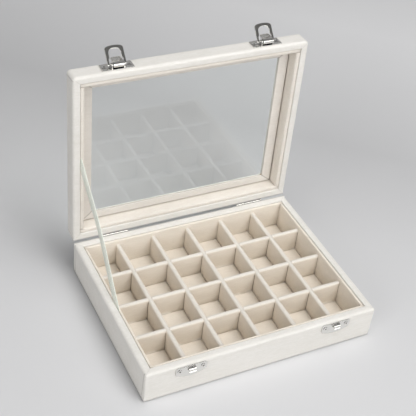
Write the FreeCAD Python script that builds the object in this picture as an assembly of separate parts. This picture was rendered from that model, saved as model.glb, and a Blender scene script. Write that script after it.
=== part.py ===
"""A velvet jewellery box: a wrapped tray of small cells under a hinged glass lid.

Millimetres, +X to the right, +Y towards the hinges at the back, +Z up, origin at the middle of the
underside. Lid pieces are built with the lid shut and then swung open about the hinge axis. A latch
loop is built hooked on its keeper and then thrown back over its lever.
"""
import FreeCAD
import Part
import math
import os

Vector = FreeCAD.Vector

# Overall sizes
BOX_WIDTH = 200.0
BOX_DEPTH = 154.4
BASE_HEIGHT = 30.0
LID_HEIGHT = 14.8
LID_GAP = 0.3
LID_OPEN_ANGLE = 91.0

# Boards and their velvet covering
BOARD = 5.0
SKIN = 0.6
BOTTOM_BOARD = 2.4
FELT = 0.6
FELT_INSET = 3.0
TURN_UNDER = 12.0
EDGE_RADIUS = 2.4
RIM_INNER_BEVEL = 0.7
FOLD_BEVEL = 0.7

# Tray inside the base
LINER_GAP = 0.4
BASE_LINER = 2.0
BASE_LINER_DROP = 0.8
LINER_EDGE_RADIUS = 0.8
FLOOR_PAD = 1.2
DIVIDER = 4.0
DIVIDER_DROP = 4.3
DIVIDER_CROWN = 1.0
COLUMNS = 6
ROWS = 4
SLOT_CLEARANCE = 0.1
SLOT_SHARE = 0.5
SEAT_GAP = 0.1

# Lid frame, pane and retainer
LID_PANEL = 1.0
LID_LINER = 3.4
LID_LINER_DROP = 0.8
LID_LINER_RADIUS = 1.5
WINDOW_SIDE_BORDER = 19.3
WINDOW_FRONT_BORDER = 17.5
WINDOW_CORNER_RADIUS = 2.5
GLASS = 1.4
GLASS_LAP = 5.0
RETAINER = 1.1
RETAINER_GAP = 1.0
RETAINER_EDGE_RADIUS = 0.5

# Butt hinges
HINGE_LENGTH = 25.0
HINGE_FROM_END = 36.0
HINGE_BACKSET = 0.9
KNUCKLES = 3
KNUCKLE_RADIUS = 1.1
KNUCKLE_GAP = 0.2
NOTCH_CLEARANCE = 0.25
HINGE_PIN_RADIUS = 0.6
LEAF = 0.8
LEAF_DEPTH = 8.0

# Toggle latches: a place on the lid's front is a rise above the lid's rim and a stand-off from the face
LATCH_FROM_END = 37.0
LATCH_SHEET = 0.8
LATCH_PLATE_LENGTH = 25.4
LATCH_PLATE_HEIGHT = 9.8
LATCH_PLATE_RISE = 2.2
LATCH_PLATE_CORNER = 0.6
LATCH_PLAY = 0.3
LUG_RADIUS = 1.6
LUG_NECK = 2.6
PIN_CLEARANCE = 0.03
LEVER_PIN_RISE = 4.7
LEVER_PIN_RADIUS = 0.7
LEVER_WIDTH = 8.4
LEVER_SHEET = 0.8
LEVER_CLEARANCE = 0.25
NOSE_RADIUS = 2.4
THUMB_REACH = 6.4
THUMB_LIP = 1.6
THUMB_LIP_RISE = 0.4
THUMB_CORNER_RADIUS = 1.6
LOOP_PIN_BACK = 2.3
LOOP_PIN_INSET = 0.95
LOOP_PIN_RADIUS = 0.55
LOOP_BOSS = 1.25
LOOP_SHEET = 1.0
LOOP_LEG = 1.8
LOOP_TAIL = 0.9
LOOP_REACH = 11.4
LOOP_BAR = 2.0
LOOP_OUTER_CORNER = 4.5
LOOP_INNER_CORNER = 4.0
LOOP_TAIL_CORNER = 0.4
LOOP_REST_ANGLE = 50.0

# Keeper plates on the base
KEEPER_SHEET = 0.8
KEEPER_LENGTH = 25.4
KEEPER_HEIGHT = 10.5
KEEPER_END_HEIGHT = 7.0
KEEPER_DROP = 1.7
KEEPER_CORNER = 1.5
HOOK_WIDTH = 5.6
HOOK_SHEET = 0.8
HOOK_PLAY = 0.4
HOOK_BEND_RADIUS = 0.9
HOOK_DROP = 2.0
HOOK_FLARE = 0.5
HOOK_SLOT_PLAY = 0.3

# Ribbon stay: its route in (y, z) from the base seam to the lid seam, and how large its bends are
RIBBON = 0.3
RIBBON_WIDTH = 6.0
RIBBON_ROUTE = [(-10.4, 24.4), (6.3, 36.8), (26.5, 53.7), (49.4, 75.4), (69.6, 96.9), (86.3, 116.2)]
RIBBON_BEND_SHARE = 0.45

# One length by which every cut runs past what it cuts, and how near two places count as one
OVERRUN = 5.0
TOLERANCE = 0.001

# Places worked out from the sizes above
half_width = BOX_WIDTH / 2
half_depth = BOX_DEPTH / 2
wall = BOARD + 2 * SKIN
board_bevel = EDGE_RADIUS - SKIN
board_bottom = FELT + SKIN
tray_bottom = board_bottom + BOTTOM_BOARD
floor_top = tray_bottom + FLOOR_PAD
liner_top = BASE_HEIGHT - BASE_LINER_DROP
divider_top = BASE_HEIGHT - DIVIDER_DROP
hollow_half_width = half_width - SKIN - BOARD
hollow_half_depth = half_depth - SKIN - BOARD
wall_half_width = half_width - wall
wall_half_depth = half_depth - wall
tray_half_width = wall_half_width - LINER_GAP - BASE_LINER
tray_half_depth = wall_half_depth - LINER_GAP - BASE_LINER
column_pitch = (2 * wall_half_width + DIVIDER) / COLUMNS
row_pitch = (2 * tray_half_depth + DIVIDER) / ROWS
column_lines = [(place - COLUMNS / 2) * column_pitch for place in range(1, COLUMNS)]
row_lines = [(place - ROWS / 2) * row_pitch for place in range(1, ROWS)]
slot_half = DIVIDER / 2 + SLOT_CLEARANCE
slot_middle = floor_top + (divider_top - floor_top) * SLOT_SHARE
lid_rim = BASE_HEIGHT + LID_GAP
lid_top = lid_rim + LID_HEIGHT
panel_top = lid_top - SKIN
panel_under = panel_top - LID_PANEL
pane_under = panel_under - GLASS
lid_half_width = wall_half_width - LINER_GAP - LID_LINER
lid_half_depth = wall_half_depth - LINER_GAP - LID_LINER
window_half_width = half_width - WINDOW_SIDE_BORDER
window_half_depth = half_depth - WINDOW_FRONT_BORDER
hinge_axis = Vector(0, half_depth + HINGE_BACKSET, BASE_HEIGHT + LID_GAP / 2)
hinge_places = [side * (half_width - HINGE_FROM_END) for side in (-1, 1)]
latch_places = [side * (half_width - LATCH_FROM_END) for side in (-1, 1)]
lever_pin_out = LATCH_SHEET + LEVER_CLEARANCE + NOSE_RADIUS
loop_pin_rise = LEVER_PIN_RISE + LOOP_PIN_BACK
loop_pin_out = lever_pin_out - LOOP_PIN_INSET
lug_inner = LEVER_WIDTH / 2 + LATCH_PLAY
lug_outer = lug_inner + LATCH_SHEET
loop_inner = lug_outer + LATCH_PLAY
loop_outer = loop_inner + LOOP_LEG
hook_gap = HOOK_PLAY + LOOP_SHEET + HOOK_PLAY
bar_out = KEEPER_SHEET + hook_gap / 2
bar_reach = LOOP_REACH + LOOP_BAR / 2
loop_lean = math.degrees(math.asin((loop_pin_out - bar_out) / bar_reach))
hook_seat = lid_rim + loop_pin_rise - LOOP_REACH * math.cos(math.radians(loop_lean)) + HOOK_PLAY
loop_throw = 180.0 + loop_lean - LOOP_REST_ANGLE
ribbon_place = LINER_GAP / 2 - wall_half_width

ALONG_X = Vector(1, 0, 0)
ALONG_Y = Vector(0, 1, 0)
ALONG_Z = Vector(0, 0, 1)
FRONTWARD = Vector(0, -1, 0)


def block(low, high):
    """A box between two corners, each an (x, y, z)."""
    size = Vector(*high) - Vector(*low)
    return Part.makeBox(size.x, size.y, size.z, Vector(*low))


def slab(half_x, half_y, low, high):
    """A box centred on the Z axis between two heights."""
    return block((-half_x, -half_y, low), (half_x, half_y, high))


def rod(radius, middle, half_length):
    """A round rod along X about a middle point."""
    start = middle - ALONG_X * half_length
    return Part.makeCylinder(radius, 2 * half_length, start, ALONG_X)


def prism(points, path):
    """A flat outline of corner points carried along a path vector."""
    return Part.Face(Part.makePolygon(points + points[:1])).extrude(path)


def fused(shapes):
    """One solid of several that touch or overlap, without the seams between them."""
    return shapes[0].multiFuse(shapes[1:]).removeSplitter()


def cut_by(shape, tools):
    """A solid with several tools taken out of it."""
    for tool in tools:
        shape = shape.cut(tool)
    return shape


def level_edges(edges, height):
    """Those edges that lie flat at one height."""
    return [edge for edge in edges
            if max(abs(edge.BoundBox.ZMin - height), abs(edge.BoundBox.ZMax - height)) < TOLERANCE]


def straight_edges(edges, axis):
    """Those edges that run straight along an axis, 'X', 'Y' or 'Z'."""
    others = [letter for letter in "XYZ" if letter != axis]
    return [edge for edge in edges
            if all(getattr(edge.BoundBox, letter + "Length") < TOLERANCE for letter in others)]


def inside(edges, half_x, half_y):
    """Those edges that lie within a rectangle about the Z axis, its border included."""
    return [edge for edge in edges
            if max(edge.BoundBox.XMax, -edge.BoundBox.XMin) < half_x + TOLERANCE
            and max(edge.BoundBox.YMax, -edge.BoundBox.YMin) < half_y + TOLERANCE]


def cornered_slab(half_x, half_y, low, high, corner):
    """A slab with rounded upright corners."""
    body = slab(half_x, half_y, low, high)
    return body.makeFillet(corner, straight_edges(body.Edges, "Z"))


def four_walls(ring, half_x, half_y):
    """Cuts a rectangular ring into front and back walls and the two side walls between them."""
    box = ring.BoundBox
    front = block((box.XMin, box.YMin, box.ZMin), (box.XMax, -half_y, box.ZMax))
    back = block((box.XMin, half_y, box.ZMin), (box.XMax, box.YMax, box.ZMax))
    left = block((box.XMin, -half_y, box.ZMin), (-half_x, half_y, box.ZMax))
    right = block((half_x, -half_y, box.ZMin), (box.XMax, half_y, box.ZMax))
    cutters = {"front": front, "back": back, "left": left, "right": right}
    return {side: ring.common(cutter) for side, cutter in cutters.items()}


def base_carcass():
    """The base's wall boards, as one ring with bevelled outer edges, and the bottom board between them."""
    ring = slab(half_width - SKIN, half_depth - SKIN, board_bottom, BASE_HEIGHT - SKIN)
    outer_edges = straight_edges(ring.Edges, "Z") + level_edges(ring.Edges, BASE_HEIGHT - SKIN)
    ring = ring.makeChamfer(board_bevel, outer_edges)
    ring = ring.cut(slab(hollow_half_width, hollow_half_depth, board_bottom - OVERRUN,
                         BASE_HEIGHT + OVERRUN))
    bottom = slab(hollow_half_width, hollow_half_depth, board_bottom, tray_bottom)
    return ring, bottom


def base_boards():
    """The four walls, the bottom, the velvet wrapped round them and the felt beneath."""
    ring, bottom = base_carcass()
    wrap = slab(half_width, half_depth, FELT, BASE_HEIGHT)
    outer_edges = straight_edges(wrap.Edges, "Z") + level_edges(wrap.Edges, BASE_HEIGHT)
    wrap = wrap.makeFillet(EDGE_RADIUS, outer_edges)
    wrap = wrap.makeChamfer(FOLD_BEVEL, level_edges(wrap.Edges, FELT))
    wrap = wrap.cut(slab(wall_half_width, wall_half_depth, tray_bottom, BASE_HEIGHT + OVERRUN))
    rim = inside(level_edges(wrap.Edges, BASE_HEIGHT), wall_half_width, wall_half_depth)
    wrap = wrap.makeChamfer(RIM_INNER_BEVEL, rim)
    opening = slab(half_width - TURN_UNDER, half_depth - TURN_UNDER, FELT - OVERRUN, board_bottom)
    wrap = cut_by(wrap, [ring, bottom, opening])
    walls = four_walls(ring, hollow_half_width, hollow_half_depth)
    parts = {"base_" + side + "_board": board for side, board in walls.items()}
    parts["base_bottom_board"] = bottom
    parts["base_velvet_wrap"] = wrap
    parts["underside_felt"] = slab(half_width - FELT_INSET, half_depth - FELT_INSET, 0, FELT)
    return parts


def lining(half_x, half_y, thickness, low, high, exposed, radius):
    """Four liner strips inside the walls, with the inner edge at the exposed height rounded over."""
    ring = slab(half_x + thickness, half_y + thickness, low, high)
    ring = ring.cut(slab(half_x, half_y, low - OVERRUN, high + OVERRUN))
    strips = four_walls(ring, half_x, half_y)
    for name, strip in strips.items():
        axis = "X" if name in ("front", "back") else "Y"
        edges = straight_edges(level_edges(strip.Edges, exposed), axis)
        inner = min(edges, key=lambda edge: edge.BoundBox.Center.dot(strip.BoundBox.Center))
        strips[name] = strip.makeFillet(radius, [inner])
    return strips


def tray_lining():
    """The base's liner boards and the pad on its floor."""
    strips = lining(tray_half_width, tray_half_depth, BASE_LINER, tray_bottom, liner_top, liner_top,
                    LINER_EDGE_RADIUS)
    parts = {"base_liner_" + side: strip for side, strip in strips.items()}
    parts["floor_pad"] = slab(tray_half_width - SEAT_GAP, tray_half_depth - SEAT_GAP, tray_bottom, floor_top)
    return parts


def divider_board(half_length, along, across):
    """A divider of full height about the Z axis, with a crowned top, from its outline across."""
    shoulder = divider_top - DIVIDER_CROWN

    def at(side, height):
        return across * (side * DIVIDER / 2) - along * half_length + ALONG_Z * height

    crown = Part.Arc(at(1, shoulder), at(0, divider_top), at(-1, shoulder)).toShape()
    outline = Part.Wire([Part.makeLine(at(-1, floor_top), at(1, floor_top)),
                         Part.makeLine(at(1, floor_top), at(1, shoulder)), crown,
                         Part.makeLine(at(-1, shoulder), at(-1, floor_top))])
    return Part.Face(outline).extrude(along * (2 * half_length))


def dividers():
    """Long dividers slotted from above and cross dividers slotted from below, pushed together."""
    parts = {}
    for number, place in enumerate(row_lines, 1):
        board = divider_board(tray_half_width - SEAT_GAP, ALONG_X, ALONG_Y)
        slots = [block((line - slot_half, -OVERRUN, slot_middle),
                       (line + slot_half, OVERRUN, divider_top + OVERRUN)) for line in column_lines]
        parts["long_divider_%d" % number] = cut_by(board, slots).translated(ALONG_Y * place)
    for number, place in enumerate(column_lines, 1):
        board = divider_board(tray_half_depth - SEAT_GAP, ALONG_Y, ALONG_X)
        slots = [block((-OVERRUN, line - slot_half, floor_top - OVERRUN),
                       (OVERRUN, line + slot_half, slot_middle)) for line in row_lines]
        parts["cross_divider_%d" % number] = cut_by(board, slots).translated(ALONG_X * place)
    return parts


def lid_frame():
    """The lid's bevelled rails and windowed panel, and the velvet wrapped round them."""
    carcass = slab(half_width - SKIN, half_depth - SKIN, lid_rim + SKIN, panel_top)
    carcass = carcass.makeChamfer(board_bevel, carcass.Edges)
    carcass = carcass.cut(slab(hollow_half_width, hollow_half_depth, lid_rim - OVERRUN, panel_under))
    carcass = carcass.cut(cornered_slab(window_half_width + SKIN, window_half_depth + SKIN,
                                        lid_rim, lid_top + OVERRUN, WINDOW_CORNER_RADIUS + SKIN))
    panel = carcass.common(slab(half_width, half_depth, panel_under, panel_top))
    ring = carcass.common(slab(half_width, half_depth, lid_rim, panel_under))
    wrap = slab(half_width, half_depth, lid_rim, lid_top)
    wrap = wrap.makeFillet(EDGE_RADIUS, wrap.Edges)
    wrap = wrap.cut(slab(wall_half_width, wall_half_depth, lid_rim - OVERRUN, panel_under))
    wrap = wrap.cut(cornered_slab(window_half_width, window_half_depth, lid_rim, lid_top + OVERRUN,
                                  WINDOW_CORNER_RADIUS))
    rim = inside(level_edges(wrap.Edges, lid_rim), wall_half_width, wall_half_depth)
    wrap = wrap.makeChamfer(RIM_INNER_BEVEL, rim)
    wrap = wrap.cut(carcass)
    rails = four_walls(ring, hollow_half_width, hollow_half_depth)
    parts = {"lid_" + side + "_rail": rail for side, rail in rails.items()}
    parts["lid_window_panel"] = panel
    parts["lid_velvet_wrap"] = wrap
    return parts


def retainer_strip(outer_length, inner_length, outer, inner):
    """A strip in front of the Z axis: mitred ends, a rebate for the pane and a soft inner edge."""
    under = pane_under - RETAINER
    strip = block((-outer_length, -outer, under), (outer_length, -inner, panel_under))
    strip = strip.cut(block((-outer_length, -inner - GLASS_LAP - SEAT_GAP, pane_under),
                            (outer_length, -inner, panel_under)))
    lip = max(straight_edges(level_edges(strip.Edges, under), "X"), key=lambda edge: edge.BoundBox.Center.y)
    strip = strip.makeFillet(RETAINER_EDGE_RADIUS, [lip])
    outline = [Vector(-outer_length, -outer, under), Vector(outer_length, -outer, under),
               Vector(inner_length, -inner, under), Vector(-inner_length, -inner, under)]
    return strip.common(prism(outline, ALONG_Z * (panel_under - under)))


def glazing():
    """The pane under the panel, the four strips that hold it and the lid's liner strips."""
    parts = {"lid_glass_pane": slab(window_half_width + GLASS_LAP, window_half_depth + GLASS_LAP,
                                    pane_under, panel_under)}
    outer_x = lid_half_width - RETAINER_GAP
    outer_y = lid_half_depth - RETAINER_GAP
    front = retainer_strip(outer_x, window_half_width, outer_y, window_half_depth)
    right = retainer_strip(outer_y, window_half_depth, outer_x, window_half_width)
    for side, strip, turn in (("front", front, 0), ("back", front, 180),
                              ("right", right, 90), ("left", right, 270)):
        parts["retainer_" + side] = strip.rotated(Vector(), ALONG_Z, turn)
    strips = lining(lid_half_width, lid_half_depth, LID_LINER, lid_rim + LID_LINER_DROP, panel_under,
                    lid_rim + LID_LINER_DROP, LID_LINER_RADIUS)
    parts.update({"lid_liner_" + side: strip for side, strip in strips.items()})
    return parts


def hinge_leaf(place, upward):
    """A leaf on the back, with its share of the knuckles: upward 1 for the lid, -1 for the base."""
    left = place - HINGE_LENGTH / 2
    far = hinge_axis.z + upward * LEAF_DEPTH
    plate = block((left, half_depth, min(far, hinge_axis.z)),
                  (left + HINGE_LENGTH, half_depth + LEAF, max(far, hinge_axis.z)))
    middle = hinge_axis + ALONG_X * place
    leaf = fused([plate, rod(KNUCKLE_RADIUS, middle, HINGE_LENGTH / 2)])
    knuckle = HINGE_LENGTH / KNUCKLES
    reach = KNUCKLE_RADIUS + NOTCH_CLEARANCE
    first = 0 if upward > 0 else 1
    for number in range(first, KNUCKLES, 2):
        start = left + knuckle * number - KNUCKLE_GAP / 2
        leaf = leaf.cut(block((start, half_depth - OVERRUN, hinge_axis.z - reach),
                              (start + knuckle + KNUCKLE_GAP, hinge_axis.y + OVERRUN, hinge_axis.z + reach)))
    return leaf.cut(rod(HINGE_PIN_RADIUS + PIN_CLEARANCE, middle, HINGE_LENGTH))


def hinge_pin(place):
    """The pin through a hinge's knuckles."""
    return rod(HINGE_PIN_RADIUS, hinge_axis + ALONG_X * place, HINGE_LENGTH / 2)


def latch_point(x, rise, out):
    """A point on the shut lid's front, by its rise above the lid's rim and its stand-off."""
    return Vector(x, -half_depth - out, lid_rim + rise)


def latch_prism(place, half_length, corners):
    """A side outline in (rise, stand-off) carried along X about a latch's middle."""
    points = [latch_point(place - half_length, rise, out) for rise, out in corners]
    return prism(points, ALONG_X * (2 * half_length))


def lever_pivot(place):
    """The middle of a lever's pin."""
    return latch_point(place, LEVER_PIN_RISE, lever_pin_out)


def loop_pivot(place):
    """The middle between a loop's two stubs."""
    return latch_point(place, loop_pin_rise, loop_pin_out)


def latch_plate(place):
    """The plate on the lid's front, with two lugs turned out of it for the lever's pin."""
    low = latch_point(place - LATCH_PLATE_LENGTH / 2, LATCH_PLATE_RISE, LATCH_SHEET)
    high = latch_point(place + LATCH_PLATE_LENGTH / 2, LATCH_PLATE_RISE + LATCH_PLATE_HEIGHT, 0)
    plate = block(low, high)
    plate = plate.makeChamfer(LATCH_PLATE_CORNER, straight_edges(plate.Edges, "Y"))
    pieces = [plate]
    for side in (-1, 1):
        middle = place + side * (lug_inner + lug_outer) / 2
        under = LEVER_PIN_RISE - LUG_NECK / 2
        over = LEVER_PIN_RISE + LUG_NECK / 2
        neck = [(under, LATCH_SHEET), (over, LATCH_SHEET), (over, lever_pin_out), (under, lever_pin_out)]
        pieces.append(latch_prism(middle, LATCH_SHEET / 2, neck))
        pieces.append(rod(LUG_RADIUS, lever_pivot(middle), LATCH_SHEET / 2))
    return fused(pieces).cut(rod(LEVER_PIN_RADIUS + PIN_CLEARANCE, lever_pivot(place), LATCH_PLATE_LENGTH))


def lever_pin(place):
    """The pin riveted flush in the lugs, on which a lever turns."""
    return rod(LEVER_PIN_RADIUS, lever_pivot(place), lug_outer)


def latch_lever(place):
    """A channel of bent sheet: a nose rolled round the pin, a thumb plate with a lip, and two cheeks."""
    half = LEVER_WIDTH / 2
    top = lever_pin_out + NOSE_RADIUS
    heel = loop_pin_rise + LOOP_BOSS
    tip = LEVER_PIN_RISE + THUMB_REACH
    thumb = [(LEVER_PIN_RISE, top), (tip - THUMB_LIP, top), (tip, top + THUMB_LIP_RISE),
             (tip, top + THUMB_LIP_RISE - LEVER_SHEET), (tip - THUMB_LIP, top - LEVER_SHEET),
             (LEVER_PIN_RISE, top - LEVER_SHEET)]
    plate = latch_prism(place, half, thumb)
    tip_height = latch_point(0, tip, 0).z
    plate = plate.makeFillet(THUMB_CORNER_RADIUS, straight_edges(level_edges(plate.Edges, tip_height), "Y"))
    cheek = [(LEVER_PIN_RISE, lever_pin_out - NOSE_RADIUS), (loop_pin_rise, loop_pin_out - LOOP_BOSS),
             (heel, loop_pin_out), (heel, top), (LEVER_PIN_RISE, top)]
    body = fused([latch_prism(place, half, cheek), rod(NOSE_RADIUS, lever_pivot(place), half)])
    inner = half - LEVER_SHEET
    channel = [(LEVER_PIN_RISE, 0), (tip + OVERRUN, 0), (tip + OVERRUN, top - LEVER_SHEET),
               (LEVER_PIN_RISE, top - LEVER_SHEET)]
    body = cut_by(body, [latch_prism(place, inner, channel),
                         rod(NOSE_RADIUS - LEVER_SHEET, lever_pivot(place), inner)])
    lever = fused([body, plate])
    return cut_by(lever, [rod(LEVER_PIN_RADIUS + PIN_CLEARANCE, lever_pivot(place), LEVER_WIDTH),
                          rod(LOOP_PIN_RADIUS + PIN_CLEARANCE, loop_pivot(place), LEVER_WIDTH)])


def latch_loop(place):
    """A flat stirrup hooked on its keeper: two legs, a round-cornered bar and inward stubs in the lever."""
    pivot = loop_pivot(place)
    half_sheet = ALONG_Y * (LOOP_SHEET / 2)
    outer_low = pivot - Vector(loop_outer, 0, LOOP_REACH + LOOP_BAR) - half_sheet
    outer_high = pivot + Vector(loop_outer, 0, LOOP_TAIL) + half_sheet
    inner_low = pivot - Vector(loop_inner, OVERRUN, LOOP_REACH)
    inner_high = pivot + Vector(loop_inner, OVERRUN, LOOP_TAIL + OVERRUN)
    outer = block(outer_low, outer_high)
    outer = outer.makeFillet(LOOP_OUTER_CORNER, straight_edges(level_edges(outer.Edges, outer_low.z), "Y"))
    inner = block(inner_low, inner_high)
    inner = inner.makeFillet(LOOP_INNER_CORNER, straight_edges(level_edges(inner.Edges, inner_low.z), "Y"))
    frame = outer.cut(inner)
    frame = frame.makeChamfer(LOOP_TAIL_CORNER, straight_edges(level_edges(frame.Edges, outer_high.z), "Y"))
    stub_reach = (loop_inner + LOOP_LEG / 2 - LEVER_WIDTH / 2 + LEVER_SHEET) / 2
    stub_middle = LEVER_WIDTH / 2 - LEVER_SHEET + stub_reach
    stubs = [rod(LOOP_PIN_RADIUS, pivot + ALONG_X * (side * stub_middle), stub_reach) for side in (-1, 1)]
    return fused([frame] + stubs).rotated(pivot, ALONG_X, loop_lean)


def keeper_point(x, height, out):
    """A point on the base's front, by its height and its stand-off from the face."""
    return Vector(x, -half_depth - out, height)


def keeper(place):
    """A plate with a bellied lower edge and a hook lanced out of it, open downwards for the loop's bar."""
    top = hook_seat + KEEPER_DROP
    half = KEEPER_LENGTH / 2
    left_top = keeper_point(place - half, top, 0)
    right_top = keeper_point(place + half, top, 0)
    right_low = keeper_point(place + half, top - KEEPER_END_HEIGHT, 0)
    left_low = keeper_point(place - half, top - KEEPER_END_HEIGHT, 0)
    belly = Part.Arc(right_low, keeper_point(place, top - KEEPER_HEIGHT, 0), left_low).toShape()
    outline = Part.Wire([Part.makeLine(left_top, right_top), Part.makeLine(right_top, right_low), belly,
                         Part.makeLine(left_low, left_top)])
    plate = Part.Face(outline).extrude(FRONTWARD * KEEPER_SHEET)
    plate = plate.makeFillet(KEEPER_CORNER, straight_edges(plate.Edges, "Y"))
    slot_half_width = HOOK_WIDTH / 2 + HOOK_SLOT_PLAY
    slot_low = keeper_point(place - slot_half_width, hook_seat - HOOK_DROP - HOOK_FLARE, OVERRUN)
    slot_high = keeper_point(place + slot_half_width, hook_seat, -OVERRUN)
    return fused([plate.cut(block(slot_low, slot_high)), hook(place)])


def hook(place):
    """The keeper's hook: sheet that leaves the plate above its slot and bends down over the slot."""
    side = place - HOOK_WIDTH / 2
    root = KEEPER_SHEET
    face = root + hook_gap
    bend = face - HOOK_BEND_RADIUS
    diagonal = math.sqrt(1 / 2)

    def at(out, height):
        return keeper_point(side, height, out)

    def arc(radius):
        middle = at(bend + radius * diagonal, hook_seat - HOOK_BEND_RADIUS + radius * diagonal)
        return Part.Arc(at(bend, hook_seat - HOOK_BEND_RADIUS + radius), middle,
                        at(bend + radius, hook_seat - HOOK_BEND_RADIUS)).toShape()

    low = hook_seat - HOOK_DROP
    tip = low - HOOK_FLARE
    crest = hook_seat + HOOK_SHEET
    edges = [Part.makeLine(at(root, crest), at(root, hook_seat)),
             Part.makeLine(at(root, hook_seat), at(bend, hook_seat)), arc(HOOK_BEND_RADIUS),
             Part.makeLine(at(face, hook_seat - HOOK_BEND_RADIUS), at(face, low)),
             Part.makeLine(at(face, low), at(face + HOOK_FLARE, tip)),
             Part.makeLine(at(face + HOOK_FLARE, tip), at(face + HOOK_FLARE + HOOK_SHEET, tip)),
             Part.makeLine(at(face + HOOK_FLARE + HOOK_SHEET, tip), at(face + HOOK_SHEET, low)),
             Part.makeLine(at(face + HOOK_SHEET, low), at(face + HOOK_SHEET, hook_seat - HOOK_BEND_RADIUS)),
             arc(HOOK_BEND_RADIUS + HOOK_SHEET), Part.makeLine(at(bend, crest), at(root, crest))]
    return Part.Face(Part.Wire(Part.sortEdges(edges)[0])).extrude(ALONG_X * HOOK_WIDTH)


def rounded_route(points):
    """Straight runs along the points, joined by tangent arcs as large as the shorter run allows."""
    edges = []
    start = points[0]
    for before, corner, after in zip(points, points[1:], points[2:]):
        inward = (corner - before).normalize()
        outward = (after - corner).normalize()
        trim = RIBBON_BEND_SHARE * min((corner - before).Length, (after - corner).Length)
        half_turn = inward.getAngle(outward) / 2
        radius = trim / math.tan(half_turn)
        first = corner - inward * trim
        last = corner + outward * trim
        centre_way = (outward - inward).normalize()
        crown = corner + centre_way * (radius / math.cos(half_turn) - radius)
        print("ribbon bend radius %.1f" % radius)
        edges += [Part.makeLine(start, first), Part.Arc(first, crown, last).toShape()]
        start = last
    edges.append(Part.makeLine(start, points[-1]))
    return Part.Wire(edges)


def stay_ribbon():
    """A flat ribbon in the plane of the left seams, tucked between wall and liner at both ends."""
    points = [Vector(ribbon_place, y, z) for y, z in RIBBON_ROUTE]
    route = rounded_route(points)
    along = (points[1] - points[0]).normalize()
    across = ALONG_X.cross(along) * (RIBBON_WIDTH / 2)
    thick = ALONG_X * (RIBBON / 2)
    ends = [points[0] + across + thick, points[0] - across + thick,
            points[0] - across - thick, points[0] + across - thick]
    ribbon = route.makePipeShell([Part.makePolygon(ends + ends[:1])], True, True)
    print("ribbon length %.1f, volume over section %.1f" % (route.Length,
                                                            ribbon.Volume / (RIBBON * RIBBON_WIDTH)))
    return ribbon


def swung_open(shape):
    """A lid piece turned from shut to open about the hinge axis."""
    return shape.rotated(hinge_axis, ALONG_X, -LID_OPEN_ANGLE)


def base_parts():
    """Every piece that stays with the base."""
    parts = {}
    parts.update(base_boards())
    parts.update(tray_lining())
    parts.update(dividers())
    for side, place in zip(("left", "right"), hinge_places):
        parts["hinge_base_leaf_" + side] = hinge_leaf(place, -1)
        parts["hinge_pin_" + side] = hinge_pin(place)
    for side, place in zip(("left", "right"), latch_places):
        parts["keeper_" + side] = keeper(place)
    parts["stay_ribbon"] = stay_ribbon()
    return parts


def lid_parts():
    """Every piece that swings with the lid, built with the lid shut."""
    parts = {}
    parts.update(lid_frame())
    parts.update(glazing())
    for side, place in zip(("left", "right"), hinge_places):
        parts["hinge_lid_leaf_" + side] = hinge_leaf(place, 1)
    for side, place in zip(("left", "right"), latch_places):
        parts["latch_plate_" + side] = latch_plate(place)
        parts["latch_pin_" + side] = lever_pin(place)
        parts["latch_lever_" + side] = latch_lever(place)
        thrown = latch_loop(place).rotated(loop_pivot(place), ALONG_X, -loop_throw)
        parts["latch_loop_" + side] = thrown
    return parts


def main():
    """Builds every piece at its place with the lid open, writes it out and prints the joints' places."""
    os.makedirs("parts", exist_ok=True)
    parts = base_parts()
    parts.update({name: swung_open(shape) for name, shape in lid_parts().items()})
    for name, shape in parts.items():
        shape.exportStep(os.path.join("parts", name + ".step"))
        print("%-24s solids %d  volume %9.2f  valid %s" % (name, len(shape.Solids), shape.Volume,
                                                         shape.isValid()))
    print("hinge axis", tuple(hinge_axis))
    for side, place in zip(("left", "right"), latch_places):
        print(side, "lever pin", tuple(swung_open(Part.Vertex(lever_pivot(place))).Point))
        print(side, "loop pin", tuple(swung_open(Part.Vertex(loop_pivot(place))).Point))
    print("loop throw %.3f  lean %.3f  hook seat %.3f" % (loop_throw, loop_lean, hook_seat))


main()
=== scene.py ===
"""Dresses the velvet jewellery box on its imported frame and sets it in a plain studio.

Sizes are millimetres in the part's frame: +X right, +Y towards the hinges, +Z up. Lid pieces are worked
out with the lid shut and then swung open about the hinge line. Meshes go into Blender in metres.
"""

import logging
from dataclasses import dataclass, field
from enum import Enum
from typing import Any, Callable, Sequence

import bpy
import numpy as np
from mathutils import Matrix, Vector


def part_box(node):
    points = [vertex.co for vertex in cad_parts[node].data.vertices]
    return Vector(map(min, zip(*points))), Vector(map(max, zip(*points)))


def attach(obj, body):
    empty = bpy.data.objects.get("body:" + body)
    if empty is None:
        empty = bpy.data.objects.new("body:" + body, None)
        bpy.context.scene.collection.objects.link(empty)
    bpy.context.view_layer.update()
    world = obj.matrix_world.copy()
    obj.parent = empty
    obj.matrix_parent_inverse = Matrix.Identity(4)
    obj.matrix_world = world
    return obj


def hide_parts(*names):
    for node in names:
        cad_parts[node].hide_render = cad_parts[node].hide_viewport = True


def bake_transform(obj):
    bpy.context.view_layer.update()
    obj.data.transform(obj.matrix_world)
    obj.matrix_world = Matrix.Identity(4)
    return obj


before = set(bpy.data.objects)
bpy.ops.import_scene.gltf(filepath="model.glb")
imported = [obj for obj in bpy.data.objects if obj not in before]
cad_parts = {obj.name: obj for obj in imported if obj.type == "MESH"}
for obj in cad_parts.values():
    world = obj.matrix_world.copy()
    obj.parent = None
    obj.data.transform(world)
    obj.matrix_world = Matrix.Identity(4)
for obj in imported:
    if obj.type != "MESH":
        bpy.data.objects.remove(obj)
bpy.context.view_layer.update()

LOG = logging.getLogger("jewellery_box")
METRES = 0.001  # a millimetre in metres
QUARTER = np.pi / 2  # a quarter turn
HIDDEN_EDGE = 0.1  # radius of a strip's edge that no side shows
LEAST_EDGE = 0.06  # least radius of a strip's edges where its ends draw in
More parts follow.
